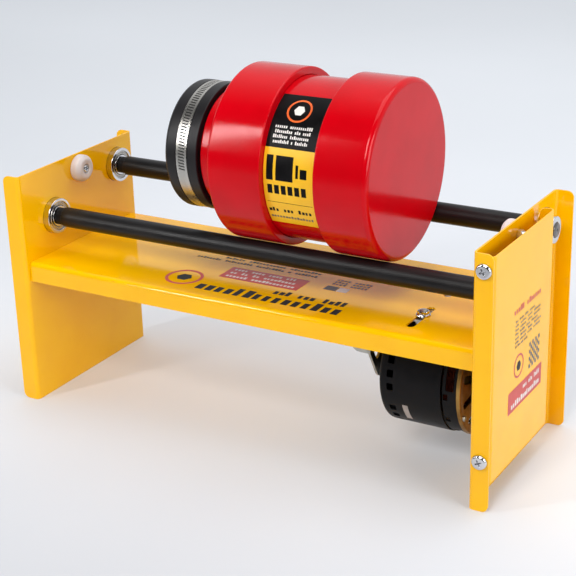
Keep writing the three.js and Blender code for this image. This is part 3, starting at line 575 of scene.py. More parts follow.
def shelf_bolt(end, side, place, spot):
    """Button-head bolt through the end plate, and the weld nut on the shelf's tab."""

    def x(offset):
        return side * (RIGHT + SHEET + GAP + offset)

    profile = [(x(3.4), 0), (x(3.4), 4.6, 1.5), (x(0.6), 6.2, 1.2), (x(0), 6.2), (x(0), 3.0)]
    profile += threads(x(-1), x(-10.4), 3.0) + [(x(-11.1), 2.4), (x(-11.1), 0)]
    bolt = lathe(f"button_bolt_{end}_{place}", profile, spot)
    carve(bolt, [prism("socket", circle(*spot, 2.3, 6), "yzx", x(1.2), x(5))])
    dress(bolt, STEEL, "frame", [f"shelf_bolt_{end}_{place}"], bevel=0.1)
    inner = -2 * (SHEET + GAP)
    nut = hex_nut(f"weld_nut_{end}_{place}", "x", x(inner), x(inner - 4.9), 11, spot, 3.1)
    dress(nut, ZINC, "frame", bevel=0.15)


for end, side in (("left", -1), ("right", 1)):
    for place, y in zip(("front", "rear"), shelf_bolt_y):
        shelf_bolt(end, side, place, (y, shelf_bolt_z))

for place, (x, y, _) in nut_spots.items():
    base, tip = span(f"motor_nut_{place}", Z)
    nut = hex_nut(f"flange_nut_{place}", "z", base + 1.0, tip, 11, (x, y), 4.2, 0.35)
    flange = [(base, 4.2), (base, 8.0, 0.4), (base + 1.4, 7.2, 0.5), (base + 2.0, 5.6), (base + 2.0, 4.2)]
    carve(nut, [lathe("flange", flange, (x, y), "z")], "UNION")
    dress(nut, CHROME, "motor", [f"motor_nut_{place}"], bevel=0.2)
    node = f"motor_bolt_{place}"
    base, tip = span(node, Z)
    profile = [(base, 0), (base, 8.0, 0.8), (base + 3, 8.0), (base + 3, 3.9)]
    profile += threads(base + 4, tip - 0.7, 3.9, 1.25) + [(tip, 3.2), (tip, 0)]
    dress(lathe(f"carriage_bolt_{place}", profile, (x, y), "z", 48), ZINC, "motor", [node])


# ---- Shafts, sleeves, bearings and collars -------------------------
def bearing(name, axis, end, side):
    """Flanged bearing in an end plate: its outer ring, shield and the inner ring that turns."""

    def x(offset):
        return side * (RIGHT + offset)

    back = SHEET + GAP
    profile = [
        (x(-8), RACE_R, 0.3), (x(-8), BEARING_R, 0.8), (x(back), BEARING_R),
        (x(back), BEARING_R + 2, 0.3), (x(back + 1.5), BEARING_R + 2, 0.4),
        (x(back + 1.5), RACE_R, 0.3),
    ]
    ring = lathe(f"{name}_bearing_race_{end}", profile, axis, steps=3)
    dress(ring, CHROME, "frame", [f"{name}_bearing_{end}_outer_ring"])
    profile = [
        (x(-7.2), SHIELD_BORE_R, 0.2), (x(-7.2), 14.2, 0.4), (x(-6.7), 14.8, 0.3),
        (x(-6.7), RACE_R - 0.2), (x(back + 0.4), RACE_R - 0.2), (x(back + 0.9), SHIELD_BORE_R, 0.2),
    ]
    dress(lathe(f"{name}_bearing_shield_{end}", profile, axis, steps=3), SHIELD, "frame")
    profile = [
        (x(-8), SHAFT_R + GAP, 0.4), (x(-8), 11.8, 0.5), (x(back + 1.5), 11.8, 0.5),
        (x(back + 1.5), SHAFT_R + GAP, 0.4),
    ]
    ring = lathe(f"{name}_bearing_inner_{end}", profile, axis, steps=3)
    dress(ring, CHROME, f"{name}_roller", [f"{name}_bearing_{end}_inner_ring"])


def roller(name, axis):
    """Shaft in its rubber sleeve, which is thinner at its ends, with a bearing in each end plate."""
    body = f"{name}_roller"
    start, end = span(f"{name}_shaft")
    profile = [(start, 0), (start, SHAFT_R - 1), (start + 1, SHAFT_R, 0.3), (end - 1, SHAFT_R, 0.3)]
    profile += [(end, SHAFT_R - 1), (end, 2.0), (end - 1.6, 0)]
    dress(lathe(f"{name}_rod", profile, axis), SHAFT, body, [f"{name}_shaft"])
    start, end = span(f"{name}_sleeve")
    profile = [
        (start, SHAFT_R + GAP), (start, SLEEVE_NECK_R, 0.4), (-SLEEVE_END, SLEEVE_NECK_R, 0.3),
        (-SLEEVE_END, SLEEVE_R, 0.8), (SLEEVE_END, SLEEVE_R, 0.8), (SLEEVE_END, SLEEVE_NECK_R, 0.3),
        (end, SLEEVE_NECK_R, 0.4), (end, SHAFT_R + GAP),
    ]
    sleeve = lathe(f"{name}_rubber_sleeve", profile, axis)
    dress(sleeve, RUBBER, body, [f"{name}_sleeve"])
    bearing(name, axis, "left", -1)
    bearing(name, axis, "right", 1)


roller("drive", DRIVE)
roller("idler", IDLER)

for node, body, axis in (
    ("drive_collar_left", "drive_roller", DRIVE),
    ("idler_collar_left", "idler_roller", IDLER),
    ("idler_collar_right", "idler_roller", IDLER),
):
    start, end = span(node)
    bore = SHAFT_R + GAP
    profile = [(start, bore, 0.3), (start, 14.3, 0.9), (end, 14.3, 0.9), (end, bore, 0.3)]
    collar = lathe(f"{node}_ring", profile, axis)
    spot = ((start + end) / 2, axis[0])
    carve(collar, [rod(axis[1] + 5, axis[1] + 16, 2.1, spot, "z", 24)])
    dress(collar, CHROME, body, [node], bevel=0.15)
    top = axis[1] + 13.2
    profile = [(top - 4.5, 0), (top - 4.5, 1.9), (top, 1.9, 0.3), (top, 0)]
    screw = lathe(f"{node}_set_screw", profile, spot, "z", 24)
    carve(screw, [prism("socket", circle(*spot, 1.1, 6), "xyz", top - 1.8, top + 1)])
    dress(screw, OXIDE, body)


# ---- Bumper rollers ------------------------------------------------
def bumper(end, side):
    """Nylon roller on a cross-recess screw, with a domed nut outside the end plate."""

    def x(offset):
        return side * (RIGHT - offset)

    profile = [
        (x(GAP), 3.4), (x(GAP), 15.3, 1.2), (x(8.6), 15.3, 4.0), (x(12.8), 11.0, 3.6),
        (x(12.2), 5.6, 0.5), (x(9.6), 5.4, 0.4), (x(9.6), 3.4),
    ]
    wheel = lathe(f"bumper_wheel_{end}", profile, BUMPER)
    dress(wheel, NYLON, f"{end}_bumper", [f"bumper_{end}"])
    profile = [
        (x(12.2), 0), (x(12.2), 3.4, 1.4), (x(10.0), 4.9, 1.0), (x(8.9), 4.9, 0.2), (x(8.9), 2.7),
        (x(-10.6), 2.7), (x(-11), 2.2), (x(-11), 0),
    ]
    screw = lathe(f"bumper_pin_{end}", profile, BUMPER, segments=48)
    y, z = BUMPER
    deep = sorted((x(10.9), x(13)))
    for half_y, half_z in ((2.6, 0.5), (0.5, 2.6)):
        outline = rectangle(y - half_y, z - half_z, y + half_y, z + half_z, 0.2)
        carve(screw, [prism("recess", outline, "yzx", *deep)])
    dress(screw, CHROME, "frame", [f"bumper_screw_{end}"], bevel=0.08)
    out = SHEET + GAP
    nut = hex_nut(f"acorn_nut_{end}", "x", x(-out), x(-out - 5), 11, BUMPER, 0)
    dome = [(x(-out - 4), 0), (x(-out - 4), 5.1), (x(-out - 12.6), 5.1, 5.0), (x(-out - 12.6), 0)]
    carve(nut, [lathe("dome", dome, BUMPER, segments=64, steps=10)], "UNION")
    carve(nut, [rod(x(1 - out), x(-out - 9.2), 3.1, BUMPER)])
    dress(nut, CHROME, "frame", [f"bumper_nut_{end}"], bevel=0.15)


bumper("left", -1)
bumper("right", 1)


# ---- Barrel --------------------------------------------------------
LID_FACE, LID_RIM = span("barrel_lid")
RING_FACE = at(243)
hub_left, RING_RIM = span("barrel_reducer")
CAP_RIM, CAP_FACE = span("barrel_end_cap")
socket = PIPE_R + GAP
bore = PIPE_R - 7.1
HUB_OUTER_R = 64.0
ROUND = 160

left, right = span("barrel_pipe")
profile = [(left, bore, 0.5), (left, PIPE_R, 0.5), (right, PIPE_R, 0.5), (right, bore, 0.5)]
dress(lathe("pipe_body", profile, BARREL, segments=ROUND), RED, "barrel", ["barrel_pipe"])

profile = [
    (CAP_FACE - 9.7, 0), (CAP_FACE - 9.7, socket, 1.0), (CAP_RIM, socket, 0.6),
    (CAP_RIM, BARREL_R, 1.6), (CAP_FACE, BARREL_R, 5.8), (CAP_FACE, 0),
]
cap = lathe("end_cap", profile, BARREL, segments=ROUND, steps=9)
dress(cap, RED, "barrel", ["barrel_end_cap"])

neck_bore = NECK_R + GAP
profile = [
    (RING_RIM, socket, 0.6), (left - 0.4, socket), (left - 0.4, bore, 2.0),
    (RING_FACE + 2, neck_bore, 1.0), (hub_left, neck_bore, 0.5), (hub_left, HUB_OUTER_R, 2.0),
    (hub_left + 12, HUB_OUTER_R, 5.0), (RING_FACE - 3, 82, 6.0), (RING_FACE + 0.8, BARREL_R, 3.6),
    (RING_RIM, BARREL_R, 1.6),
]
reducer = lathe("reducer_coupling", profile, BARREL, segments=ROUND, steps=8)
dress(reducer, RED, "barrel", ["barrel_reducer"])

start, end = span("barrel_neck")
profile = [(start, NECK_R - 6, 1.5), (start, NECK_R, 1.5), (end, NECK_R), (end, NECK_R - 6)]
dress(lathe("neck_tube", profile, BARREL, segments=ROUND), RED, "barrel", ["barrel_neck"])

band_left, band_right = span("clamp_band")
BAND_MIDDLE = (band_left + band_right) / 2
GROOVE_R = LID_R - 1.4
profile = [
    (LID_FACE, 0), (LID_FACE, 36), (LID_FACE + 1.0, 37, 0.4), (LID_FACE + 1.0, 40, 0.4), (LID_FACE, 41),
    (LID_FACE, LID_R, 5.0), (band_left - 0.6, LID_R, 0.7), (band_left - 0.6, GROOVE_R),
    (band_right + 0.6, GROOVE_R), (band_right + 0.6, LID_R, 0.7), (LID_RIM, LID_R, 1.2),
    (LID_RIM, neck_bore, 0.8), (LID_FACE + 5, neck_bore, 1.0), (LID_FACE + 5, 0),
]
lid = lathe("rubber_lid", profile, BARREL, segments=ROUND, steps=7)
dress(lid, LID_RUBBER, "lid", ["barrel_lid"])


def clamp_band():
    """Worm-drive band: slotted where the worm can reach it, and plain along the rest."""
    inner, outer = GROOVE_R + GAP, GROOVE_R + GAP + 0.8
    profile = [(band_left, inner), (band_left, outer), (band_right, outer), (band_right, inner)]
    band = lathe("slotted_band", profile, BARREL, segments=200)
    first, pitch, lean = -110, 2.7, -0.12
    slots = []
    for k in range(78):
        slot = prism("slot", rectangle(-3.9, -0.7, 3.9, 0.7, 0.6), "xyz", inner - 2, inner + 3)
        slot.data.transform(Matrix.Translation((BAND_MIDDLE * MM, 0, 0)) @ Matrix.Rotation(lean, 4, "Z"))
        slots.append(turn_round(slot, math.radians(first + pitch * k), BARREL))
    carve(band, slots)
    return dress(band, STAINLESS, "lid", ["clamp_band"], bevel=0.1)


clamp_band()
CLAMP_TURN = -0.6
CLAMP_R = LID_R + GAP
WORM_Y = CLAMP_R + 5.0


def clamp_piece(piece):
    """Moves a piece drawn with the clamp's middle at X = 0 and the barrel axis as origin."""
    piece.data.transform(Matrix.Translation((BAND_MIDDLE * MM, 0, 0)))
    return turn_round(piece, CLAMP_TURN, BARREL)


corners = [(-6.6, CLAMP_R), (6.6, CLAMP_R), (6.6, WORM_Y + 5, 4.8), (-6.6, WORM_Y + 5, 4.8)]
housing = prism("worm_housing", fillet(corners, 8), "xyz", -8, 8)
carve(housing, [rod(-9, 9, 3.7, (0, WORM_Y), "z")])
dress(clamp_piece(housing), STAINLESS, "lid", ["clamp_housing"], bevel=0.35)
profile = [(-10, 0), (-10, 2.6)] + threads(-9.6, 9.3, 3.4, 1.6)
profile += [(9.4, 4.6, 0.3), (11, 4.6, 0.3), (11, 2.0), (11, 0)]
worm = lathe("worm_screw", profile, (0, WORM_Y), "z", 48)
head = hex_nut("head", "z", 10.6, 14.6, 7, (0, WORM_Y), 0)
carve(head, [prism("slot", rectangle(-5, WORM_Y - 0.6, 5, WORM_Y + 0.6), "xyz", 13.3, 16)])
carve(worm, [head], "UNION")
dress(clamp_piece(worm), STEEL, "clamp_worm", ["clamp_screw"], bevel=0.12)


# ---- Motor ---------------------------------------------------------
CAN_LEFT, CAN_RIGHT = low("motor_can", X) + 19, high("motor_can", X)
WALL = 1.6
HUB_R = 14.0


def ring_of_cuts(count, x, along, across, start, end, phase, corner=1.2):
    """Radial cutters round the motor axis, each rounded at its corners."""
    cuts = []
    for i in range(count):
        outline = rectangle(x - along / 2, -across / 2, x + along / 2, across / 2, corner)
        tool = prism("cut", outline, "xyz", start, end)
        cuts.append(turn_round(tool, phase + math.tau * i / count, MOTOR))
    return cuts


def motor_can():
    hub = MOTOR_SHAFT_R + GAP
    profile = [
        (CAN_LEFT - 19, hub, 0.4), (CAN_LEFT - 19, HUB_R, 0.8), (CAN_LEFT, HUB_R, 2.0),
        (CAN_LEFT, MOTOR_R, 4.6), (CAN_RIGHT, MOTOR_R, 0.4), (CAN_RIGHT, MOTOR_R - WALL),
        (CAN_LEFT + WALL, MOTOR_R - WALL, 3.2), (CAN_LEFT + WALL, hub),
    ]
    can = lathe("motor_housing", profile, MOTOR, segments=128, steps=7)
    cuts = []
    for step in (-1, 0, 1):
        phase = 1.41 + step * 0.23
        cuts += ring_of_cuts(7, CAN_LEFT + 13, 7, 8, MOTOR_R - 8, MOTOR_R + 4, phase)
    rear = MOTOR[0] + MOTOR_R
    cuts.append(rod(rear - 20, rear + 4, 6.4, (CAN_LEFT + 26, MOTOR[1]), "y"))
    carve(can, cuts)
    return dress(can, MOTOR_PAINT, "motor", ["motor_can"], bevel=0.25, segments=2)


motor_can()

x, face = CAN_LEFT + 26, MOTOR[0] + MOTOR_R
profile = [
    (face - 3, 3.6, 0.6), (face - 3, 6.1, 0.6), (face + 0.9, 6.1), (face + 0.9, 8.4, 0.5),
    (face + 3.4, 8.4, 1.2), (face + 3.4, 3.6, 0.8),
]
grommet = lathe("cable_grommet", profile, (x, MOTOR[1]), "y", 48)
dress(grommet, RUBBER, "motor", ["cord_grommet"])

start, end = span("motor_front_shell")
outer = MOTOR_R - 1
profile = [(start, outer - WALL), (start, outer, 0.4), (end, outer, 0.4), (end, outer - WALL)]
shell = lathe("motor_window_ring", profile, MOTOR, segments=128)
cuts = ring_of_cuts(4, (start + end) / 2 + 0.4, 9, 38, outer - 12, outer + 4, 1.2, 1.5)
for beyond in (0.425, 0.9):
    cuts += ring_of_cuts(4, start + 3.4, 5, 7, outer - 8, outer + 4, 1.2 + beyond, 1.0)
carve(shell, cuts)
dress(shell, MOTOR_PAINT, "motor", ["motor_front_shell"], bevel=0.25, segments=2)


def end_bell():
    x = low("motor_end_bell", X)
    hub = MOTOR_SHAFT_R + GAP
    profile = [
        (x, MOTOR_R - 3), (x, MOTOR_R, 0.5), (x + 4.4, MOTOR_R - 0.8, 1.2), (x + 4.4, MOTOR_R - 7, 1.5),
        (x + 8, 24, 2.0), (x + 8, HUB_R, 1.5), (x + 20, HUB_R, 1.0), (x + 20, hub, 0.5), (x + 6, hub),
        (x + 6, 24, 1.0), (x + 2.4, MOTOR_R - 7, 1.0), (x + 2.4, MOTOR_R - 3),
    ]
    bell = lathe("motor_bell", profile, MOTOR, segments=144)
    slots = []
    for i in range(12):
        slot = prism("slot", rectangle(-4.4, 34, 4.4, 56, 4.39), "yzx", x - 1, x + 14)
        slots.append(turn_round(slot, (i + 0.5) / 12 * math.tau, MOTOR))
    carve(bell, slots)
    dress(bell, GOLD, "motor", ["motor_end_bell"], bevel=0.3, segments=2)
    screw_ring = 59.6
    for i in range(4):
        spot = polar(MOTOR, screw_ring, math.tau * (i + 0.3) / 4)
        head = hex_nut(f"bell_screw_{i + 1}", "x", x + 4.2, x + 6.6, 5, spot, 0)
        dress(head, ZINC, "motor", bevel=0.12)


end_bell()

start, end = span("motor_core")
outer = MOTOR_R - WALL - 3 * GAP
profile = [(start, 31), (start, outer, 0.6), (end, outer, 0.6), (end, 31)]
dress(lathe("stator_core", profile, MOTOR), CORE, "motor", ["motor_core"])
for end_name, side in (("left", -1), ("right", 1)):
    node = f"motor_winding_{end_name}"
    near, far = span(node)[::side]
    profile = [(near, 37), (near, 53, 1.5), (far, 50, 4.5), (far, 40, 4.0)]
    coil = lathe(f"winding_{end_name}", profile, MOTOR, segments=192, wave=0.9, waves=24)
    dress(coil, COPPER, "motor", [node])

start, end = span("motor_rotor")
core = span("motor_core")
profile = [
    (start, 0), (start, MOTOR_SHAFT_R, 0.8), (core[0], MOTOR_SHAFT_R), (core[0], 30.2, 1.0),
    (core[1], 30.2, 1.0), (core[1], MOTOR_SHAFT_R), (end, MOTOR_SHAFT_R, 0.8), (end, 0),
]
dress(lathe("rotor_shaft", profile, MOTOR), STEEL, "rotor", ["motor_rotor"])


def fan():
    x = low("motor_fan", X)
    hub = [(x, MOTOR_SHAFT_R + GAP), (x, 12, 0.6), (x + 7, 12, 0.6), (x + 7, MOTOR_SHAFT_R + GAP)]
    wheel = lathe("cooling_fan", hub, MOTOR, segments=64)
    disc = [(x + 1.6, 10), (x + 1.6, 34, 0.5), (x + 3, 34, 0.5), (x + 3, 10)]
    carve(wheel, [lathe("disc", disc, MOTOR, segments=64)], "UNION")
    blades = []
    for i in range(6):
        blade = prism("blade", rectangle(x + 2, 11, x + 7, 50, 0), "xzy", -0.7, 0.7)
        blades.append(turn_round(blade, math.tau * i / 6, MOTOR))
    carve(wheel, blades, "UNION")
    return dress(wheel, PLASTIC, "rotor", ["motor_fan"], bevel=0.2, segments=2)


fan()

CRADLE_SHEET = 2.6
cradle_top = high("motor_cradle", Z)
arm_left = CAN_LEFT - 17
arm_right = high("motor_end_bell", X) - 9


def cradle():
    y, z = MOTOR
    wide, bend = 52, z + 22
    floor = cradle_top - CRADLE_SHEET
    plate = block("cradle", (arm_left, y - wide, floor), (arm_right + CRADLE_SHEET, y + wide, cradle_top))

    def arm(shoulder, foot, x):
        corners = [
            (y - shoulder, cradle_top), (y - shoulder, bend, 6), (y - foot, z - 12, 12),
            (y + foot, z - 12, 12), (y + shoulder, bend, 6), (y + shoulder, cradle_top),
        ]
        return prism("arm", fillet(corners, 8), "yzx", x, x + CRADLE_SHEET)

    carve(plate, [arm(wide, 33, arm_left), arm(34, 30, arm_right)], "UNION")
    near, far = arm_left + 1, arm_left - 21
    outline = fillet([(near, bend), (far, bend, 12), (far, cradle_top), (near, cradle_top)], 8)
    lips = [
        prism("lip", outline, "xzy", *sorted((y + side * wide, y + side * (wide - CRADLE_SHEET))))
        for side in (-1, 1)
    ]
    carve(plate, lips, "UNION")
    cuts = [rod(arm_left - 1, arm_right + CRADLE_SHEET + 1, 22.3, MOTOR, count=64)]
    for side in (-1, 1):
        corners = [(37, 10, 1.5), (43, 20, 2), (42, 54, 3), (14, 54, 3), (26, 18, 2)]
        outline = fillet([(y + side * u, z + v, r) for u, v, r in corners])
        cuts.append(prism("window", outline, "yzx", arm_left - 1, arm_left + CRADLE_SHEET + 1))
    cuts += [rod(cradle_top - 6, cradle_top + 2, 4.2, spot[:2], "z") for spot in nut_spots.values()]
    carve(plate, cuts)
    return dress(plate, ZINC, "motor", ["motor_cradle"], bevel=0.4)


cradle()
for end, x in (("left", arm_left), ("right", arm_right)):
    start, stop = x - 1.6, x + CRADLE_SHEET + 2
    inner = HUB_R + 2 * GAP
    profile = [(start, inner), (start, 21.6, 1.2), (x + 1.3, 22, 0.5), (stop, 21.6, 1.2), (stop, inner)]
    ring = lathe(f"mount_ring_{end}", profile, MOTOR, segments=64)
    dress(ring, RUBBER, "motor", [f"motor_ring_{end}"])


# ---- Belt drive ----------------------------------------------------
PULLEY_LEFT, PULLEY_RIGHT = span("drive_pulley")
PULLEY_MID = (PULLEY_LEFT + PULLEY_RIGHT) / 2
DRIVE_PULLEY_R = high("drive_pulley", Y) - DRIVE[0]
MOTOR_PULLEY_R = 16.0
HOLE_RING = 20.5


def pulley(name, axis, r, hole, hub):
    floor = r - 7.0
    profile = [(PULLEY_LEFT, hole), (PULLEY_LEFT, hub, 0.5)]
    webbed = floor - hub > 8
    if webbed:
        inset = PULLEY_LEFT + 3
        profile += [(inset, hub, 1.5), (inset, floor - 5, 1.5), (PULLEY_LEFT, floor - 3, 0.5)]
    profile += [
        (PULLEY_LEFT, r, 0.4), (PULLEY_LEFT + 0.8, r, 0.3), (PULLEY_MID - 3.4, floor, 0.5),
        (PULLEY_MID + 3.4, floor, 0.5), (PULLEY_RIGHT - 0.8, r, 0.3), (PULLEY_RIGHT, r, 0.4),
    ]
    if webbed:
        inset = PULLEY_RIGHT - 3
        profile += [(PULLEY_RIGHT, floor - 3, 0.5), (inset, floor - 5, 1.5), (inset, hub, 1.5)]
    profile += [(PULLEY_RIGHT, hub, 0.5), (PULLEY_RIGHT, hole)]
    return lathe(name, profile, axis, segments=128, steps=4)


wheel = pulley("drive_sheave", DRIVE, DRIVE_PULLEY_R, SHAFT_R + GAP, 15)
holes = []
for i in range(4):
    spot = polar(DRIVE, HOLE_RING, math.tau * i / 4 + 0.4)
    holes.append(rod(PULLEY_LEFT - 1, PULLEY_RIGHT + 1, 4, spot))
carve(wheel, holes)
dress(wheel, CAST, "drive_roller", ["drive_pulley"], bevel=0.3, segments=2)
wheel = pulley("motor_sheave", MOTOR, MOTOR_PULLEY_R, MOTOR_SHAFT_R + GAP - 0.05, 8.6)
dress(wheel, CAST, "rotor", ["motor_pulley"])


def drive_belt():
    """V-section loop round both pulleys, drawn as a section that travels along the loop."""
    along = Vector(MOTOR) - Vector(DRIVE)
    heading = math.atan2(along.y, along.x)
    wrap = math.acos((DRIVE_PULLEY_R - MOTOR_PULLEY_R) / along.length)
    stations = []
    for k in range(73):
        stations.append((DRIVE, DRIVE_PULLEY_R, heading + wrap + (math.tau - 2 * wrap) * k / 72))
    for k in range(37):
        stations.append((MOTOR, MOTOR_PULLEY_R, heading - wrap + 2 * wrap * k / 36))
    section = fillet([(3.0, 0.6, 0.4), (2.3, 6.0, 0.4), (-2.3, 6.0, 0.4), (-3.0, 0.6, 0.4)], 2)
    loop = []
    for i, (hub, r, turn) in enumerate(stations):
        loop.append((hub, r, turn))
        following = stations[(i + 1) % len(stations)]
        if following[0] is not hub:
            for k in range(1, 24):
                loop.append(((hub, r, turn), following, k / 24))
    bm = bmesh.new()

    def on(hub, r, turn, depth):
        return Vector(polar(hub, r - depth, turn))

    rings = []
    for station in loop:
        ring = []
        for across, depth in section:
            if isinstance(station[1], tuple):
                spot = on(*station[0], depth).lerp(on(*station[1], depth), station[2])
            else:
                spot = on(*station, depth)
            ring.append(bm.verts.new((PULLEY_MID + across, spot.x, spot.y)))
        rings.append(ring)
    for near, far in zip(rings, rings[1:] + rings[:1]):
        for k in range(len(section)):
            on_k = (k + 1) % len(section)
            bm.faces.new([near[k], near[on_k], far[on_k], far[k]])
    belt = link("v_belt", bm)
    belt.data.shade_smooth()
    belt.data.materials.append(BELT)
    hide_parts("drive_belt")
    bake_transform(belt)


drive_belt()


# ---- Printed labels: plain bars, blocks and discs ------------------
LAYERS = ((0.03, 0.13), (0.14, 0.2))  # bottom and top of each layer of vinyl above the surface


class Print:
    """Thin vinyl shapes laid on a surface; place(u, v, lift) gives a point on it, in millimetres."""

    def __init__(self, name, place, step=400.0):
        self.name, self.place, self.step = name, place, step
        self.bm = bmesh.new()
        self.random = random.Random(name)

    def patch(self, u0, v0, u1, v1, ink, layer=0):
        bottom, top = LAYERS[layer]
        rows = max(1, math.ceil(abs(v1 - v0) / self.step))
        rings = []
        for k in range(rows + 1):
            v = v0 + (v1 - v0) * k / rows
            corners = ((u0, bottom), (u1, bottom), (u1, top), (u0, top))
            rings.append([self.bm.verts.new(self.place(u, v, lift)) for u, lift in corners])
        for near, far in zip(rings, rings[1:]):
            for k in range(4):
                on = (k + 1) % 4
                self.bm.faces.new([near[k], near[on], far[on], far[k]]).material_index = ink
        self.bm.faces.new(rings[0]).material_index = ink
        self.bm.faces.new(rings[-1][::-1]).material_index = ink

    def disc(self, u, v, r, ink, layer=0, segments=48, inner=0.0):
        bottom, top = LAYERS[layer]
        count = max(1, math.ceil((r - inner) / 2.0))
        radii = [inner + (r - inner) * k / count for k in range(count + 1)]
        profile = [(top, q) for q in radii] + [(bottom, q) for q in radii[::-1]]

        def point(lift, q, w):
            return self.place(*polar((u, v), q, w), lift)

        spin(self.bm, profile, segments, point, ink)

    def marks(self, u0, u1, base, height, ink, layer, words):
        """A line of plain upright bars in place of a line of text; words has the length of each."""
        space = 1.2
        pitch = (u1 - u0) / (sum(words) + space * (len(words) - 1))
        u = u0
        for letters in words:
            for _ in range(letters):
                width = pitch * self.random.uniform(0.55, 0.78)
                tall = self.random.choice((0.72, 0.72, 1.0))
                self.patch(u, base, u + width, base + height * tall, ink, layer)
                u += pitch
            u += space * pitch

    def done(self, body):
        piece = link(self.name, self.bm)
        for ink in INKS:
            piece.data.materials.append(ink)
        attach(piece, body)
        return piece


def on_shelf(u, v, lift):
    return at(u), MIDDLE + v, SHELF + lift


sheet = Print("shelf_print", on_shelf)
sheet.disc(181, -59, 21, RED_INK, inner=17.5)
sheet.disc(181, -59, 9, BLACK_INK, 0, 6)
sheet.marks(208, 382, -81, 19, BLACK_INK, 0, (15,))
sheet.marks(291, 377, -59, 11, BLACK_INK, 0, (3, 3, 4))
sheet.patch(213, -41, 309, -10, RED_INK)
for row, (right, words) in enumerate(((296, (4, 4, 4, 3)), (300, (2, 2, 2, 9)), (304, (6, 12)))):
    sheet.marks(219, right, -18 - 9.5 * row, 5.5, WHITE_INK, 1, words)
sheet.marks(158, 311, 1, 4.5, BLACK_INK, 0, (8, 9, 9, 1, 7))
sheet.marks(190, 311, 10, 4.5, BLACK_INK, 0, (6, 11, 9))
sheet.patch(332, -24, 346, -13, GREY_INK)
sheet.patch(347, -24, 359, -13, WHITE_INK)
for row in range(3):
    sheet.marks(334, 376, -8 + 6 * row, 4.2, GREY_INK, 0, (4, 5))
sheet.done("frame")


def on_guard(u, v, lift):
    return EDGE + lift, MIDDLE + u, v


sheet = Print("guard_print", on_guard)
sheet.marks(-50, 20, 187, 6, RED_INK, 0, (5, 7))
for row, right in enumerate((4, 20, 20, 12, 22, 20, -14)):
    sheet.marks(-46, right, 177.5 - 4.4 * row, 2.3, GREY_INK, 0, (3, 5, 4, 6))
sheet.disc(-35, 129, 12.5, RED_INK, inner=10.5)
sheet.disc(-35, 129, 5.5, BLACK_INK, 0, 6)
for row in range(7):
    for column in range(7):
        if (row + column) % 2 == 0:
            sheet.patch(-8 + 4 * column, 114.5 + 4 * row, -4 + 4 * column, 118.5 + 4 * row, GREY_INK)
sheet.patch(-60, 84.5, 28, 108, RED_INK)
sheet.marks(-22, 22, 99, 5, WHITE_INK, 1, (3, 3, 4))
sheet.marks(-52, 23, 88, 6, WHITE_INK, 1, (15,))
sheet.done("frame")


def on_pipe(u, v, lift):
    turn = math.radians(v)
    r = PIPE_R + lift
    return at(u), BARREL[0] - r * math.sin(turn), BARREL[1] + r * math.cos(turn)


sheet = Print("barrel_label", on_pipe, 1.5)
sheet.patch(304.8, 27, 360.5, 68, BLACK_INK)
sheet.patch(304.8, 68, 360.5, 125, YELLOW_INK)
DEGREE = PIPE_R * math.pi / 180


def on_emblem(u, v, lift):
    return on_pipe(u, 40.5 + v / DEGREE, lift)


emblem = Print("label_disc", on_emblem)
emblem.disc(331, 0, 13.5, ORANGE_INK, 1, inner=11.4)
emblem.disc(331, 0, 6, WHITE_INK, 1, 6)
for row, (left, right, words) in enumerate(
    ((311, 353, (6, 11)), (312, 352, (9, 3, 4)), (311, 351, (8, 10)), (312, 351, (9, 1, 7)))
):
    sheet.marks(left, right, 54.4 + 3.5 * row, -2.3, WHITE_INK, 1, words)
sheet.patch(308, 73, 315.5, 90, BLACK_INK, 1)
sheet.patch(318.5, 73, 338, 90, BLACK_INK, 1)
sheet.patch(341, 78, 344, 87, BLACK_INK, 1)
sheet.patch(346, 80.5, 353.5, 87, BLACK_INK, 1)
for k in range(6):
    sheet.patch(309 + 7.6 * k, 93.2, 314.4 + 7.6 * k, 99.6, BLACK_INK, 1)
sheet.patch(307, 106, 358, 106.3, BLACK_INK, 1)
sheet.marks(307, 356, 114, -3.2, BLACK_INK, 1, (3, 3, 4))
sheet.marks(307, 356, 119.6, -2.2, GREY_INK, 1, (15,))
sheet.done("barrel")
emblem.done("barrel")


def on_can(u, v, lift):
    turn = math.radians(v)
    r = MOTOR_R + lift
    return CAN_LEFT + u, MOTOR[0] - r * math.sin(turn), MOTOR[1] + r * math.cos(turn)


sheet = Print("motor_data_plate", on_can, 1.5)
sheet.patch(25, 112, 31, 134, WHITE_INK)
sheet.done("motor").data.materials[WHITE_INK] = PLATE


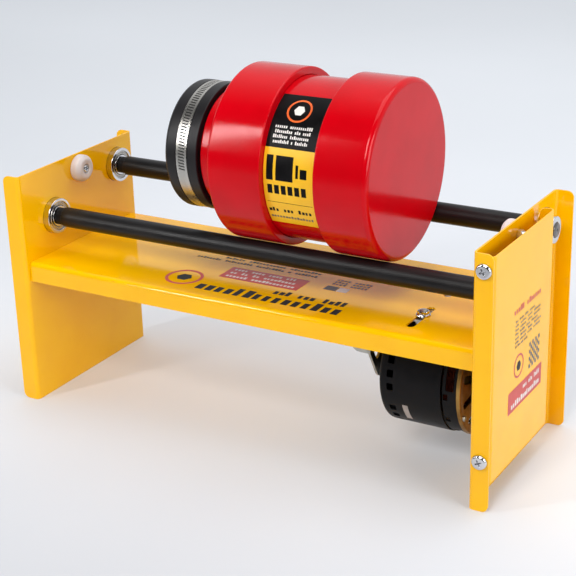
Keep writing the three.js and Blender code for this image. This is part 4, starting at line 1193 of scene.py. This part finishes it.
# ---- Studio --------------------------------------------------------
def studio():
    floor = prism("floor", rectangle(-9000, -9000, 9000, 9000), "xyz", -40, -0.2)
    paper = finish("paper", "DDE0E6", "D9DCE2", (0.6, 0.75), patch=1.2, grain=300, relief=0.02)
    graph = Graph(paper.node_tree)
    place = graph.add("ShaderNodeTexCoord").outputs["Object"]
    back = graph.add("ShaderNodeSeparateXYZ", {0: place}).outputs["Y"]
    # painted light: the floor glows, more strongly towards the back, though it is no lamp
    painted_far_glow = graph.add("ShaderNodeMapRange", {0: back, 1: -0.5, 2: 1.6, 3: 0.0, 4: 0.31}).outputs[0]
    shader = paper.node_tree.nodes["Principled BSDF"]
    # painted shade: the floor's colour grows darker towards the front
    near = graph.add("ShaderNodeMapRange", {0: back, 1: -0.75, 2: -0.05, 3: 0.5, 4: 0.97}).outputs[0]
    white = shader.inputs["Base Color"].links[0].from_socket
    # the paper's own colour multiplied by the painted shade
    painted_shade_tone = {0: 1.0, 6: white, 7: near}
    painted_shade_tone = graph.add("ShaderNodeMix", painted_shade_tone, data_type="RGBA", blend_type="MULTIPLY").outputs[2]
    graph.put(shader, "Base Color", painted_shade_tone)
    # painted light: the bluish colour and the strength of the floor's glow
    graph.put(shader, "Emission Color", (0.9, 0.95, 1.0, 1))
    graph.put(shader, "Emission Strength", painted_far_glow)
    floor.data.materials.append(paper)
    world = bpy.context.scene.world or bpy.data.worlds.new("studio")
    bpy.context.scene.world = world
    world.use_nodes = True
    graph = Graph(world.node_tree)
    way = graph.add("ShaderNodeTexCoord").outputs["Generated"]
    back = graph.add("ShaderNodeSeparateXYZ", {0: way}).outputs["Y"]
    wall = graph.add("ShaderNodeMapRange", {0: back, 1: -0.25, 2: 0.35, 3: 0.06, 4: 0.8}).outputs[0]
    sky = world.node_tree.nodes["Background"]
    graph.put(sky, "Color", (0.95, 0.97, 1.0, 1))
    graph.put(sky, "Strength", wall)

    def softbox(name, place, target, width, height, power, colour=(1, 1, 1)):
        light = bpy.data.lights.new(name, "AREA")
        light.shape = "RECTANGLE"
        light.size, light.size_y = width, height
        light.energy = power
        light.color = colour
        holder = bpy.data.objects.new(name, light)
        holder.location = place
        holder.rotation_euler = (Vector(target) - Vector(place)).to_track_quat("-Z", "Y").to_euler()
        bpy.context.scene.collection.objects.link(holder)

    softbox("key", (0.25, -1.75, 1.65), (0, 0, 0.2), 0.9, 0.9, 28, (1, 0.99, 0.97))
    softbox("top", (0.35, 0.2, 2.3), (0, 0, 0), 1.8, 1.8, 21)
    softbox("right", (1.9, -0.5, 0.8), (0, 0, 0.2), 1.0, 1.0, 18)
    softbox("left", (-1.9, -0.9, 0.75), (0, 0, 0.25), 1.0, 0.8, 4)
    softbox("glint", (-0.86, -1.19, 0.97), (0, -0.08, 0.35), 0.13, 0.85, 7)


studio()

lens = bpy.data.cameras.new("camera")
lens.lens = 91.32
lens.sensor_width = 36
camera = bpy.data.objects.new("camera", lens)
camera.location = (0.7600, -1.26365, 0.7281)
camera.rotation_euler = [math.radians(angle) for angle in (68.5254, 1.534, 30.1223)]
bpy.context.scene.collection.objects.link(camera)
bpy.context.scene.camera = camera
bpy.context.scene.view_settings.view_transform = "Standard"
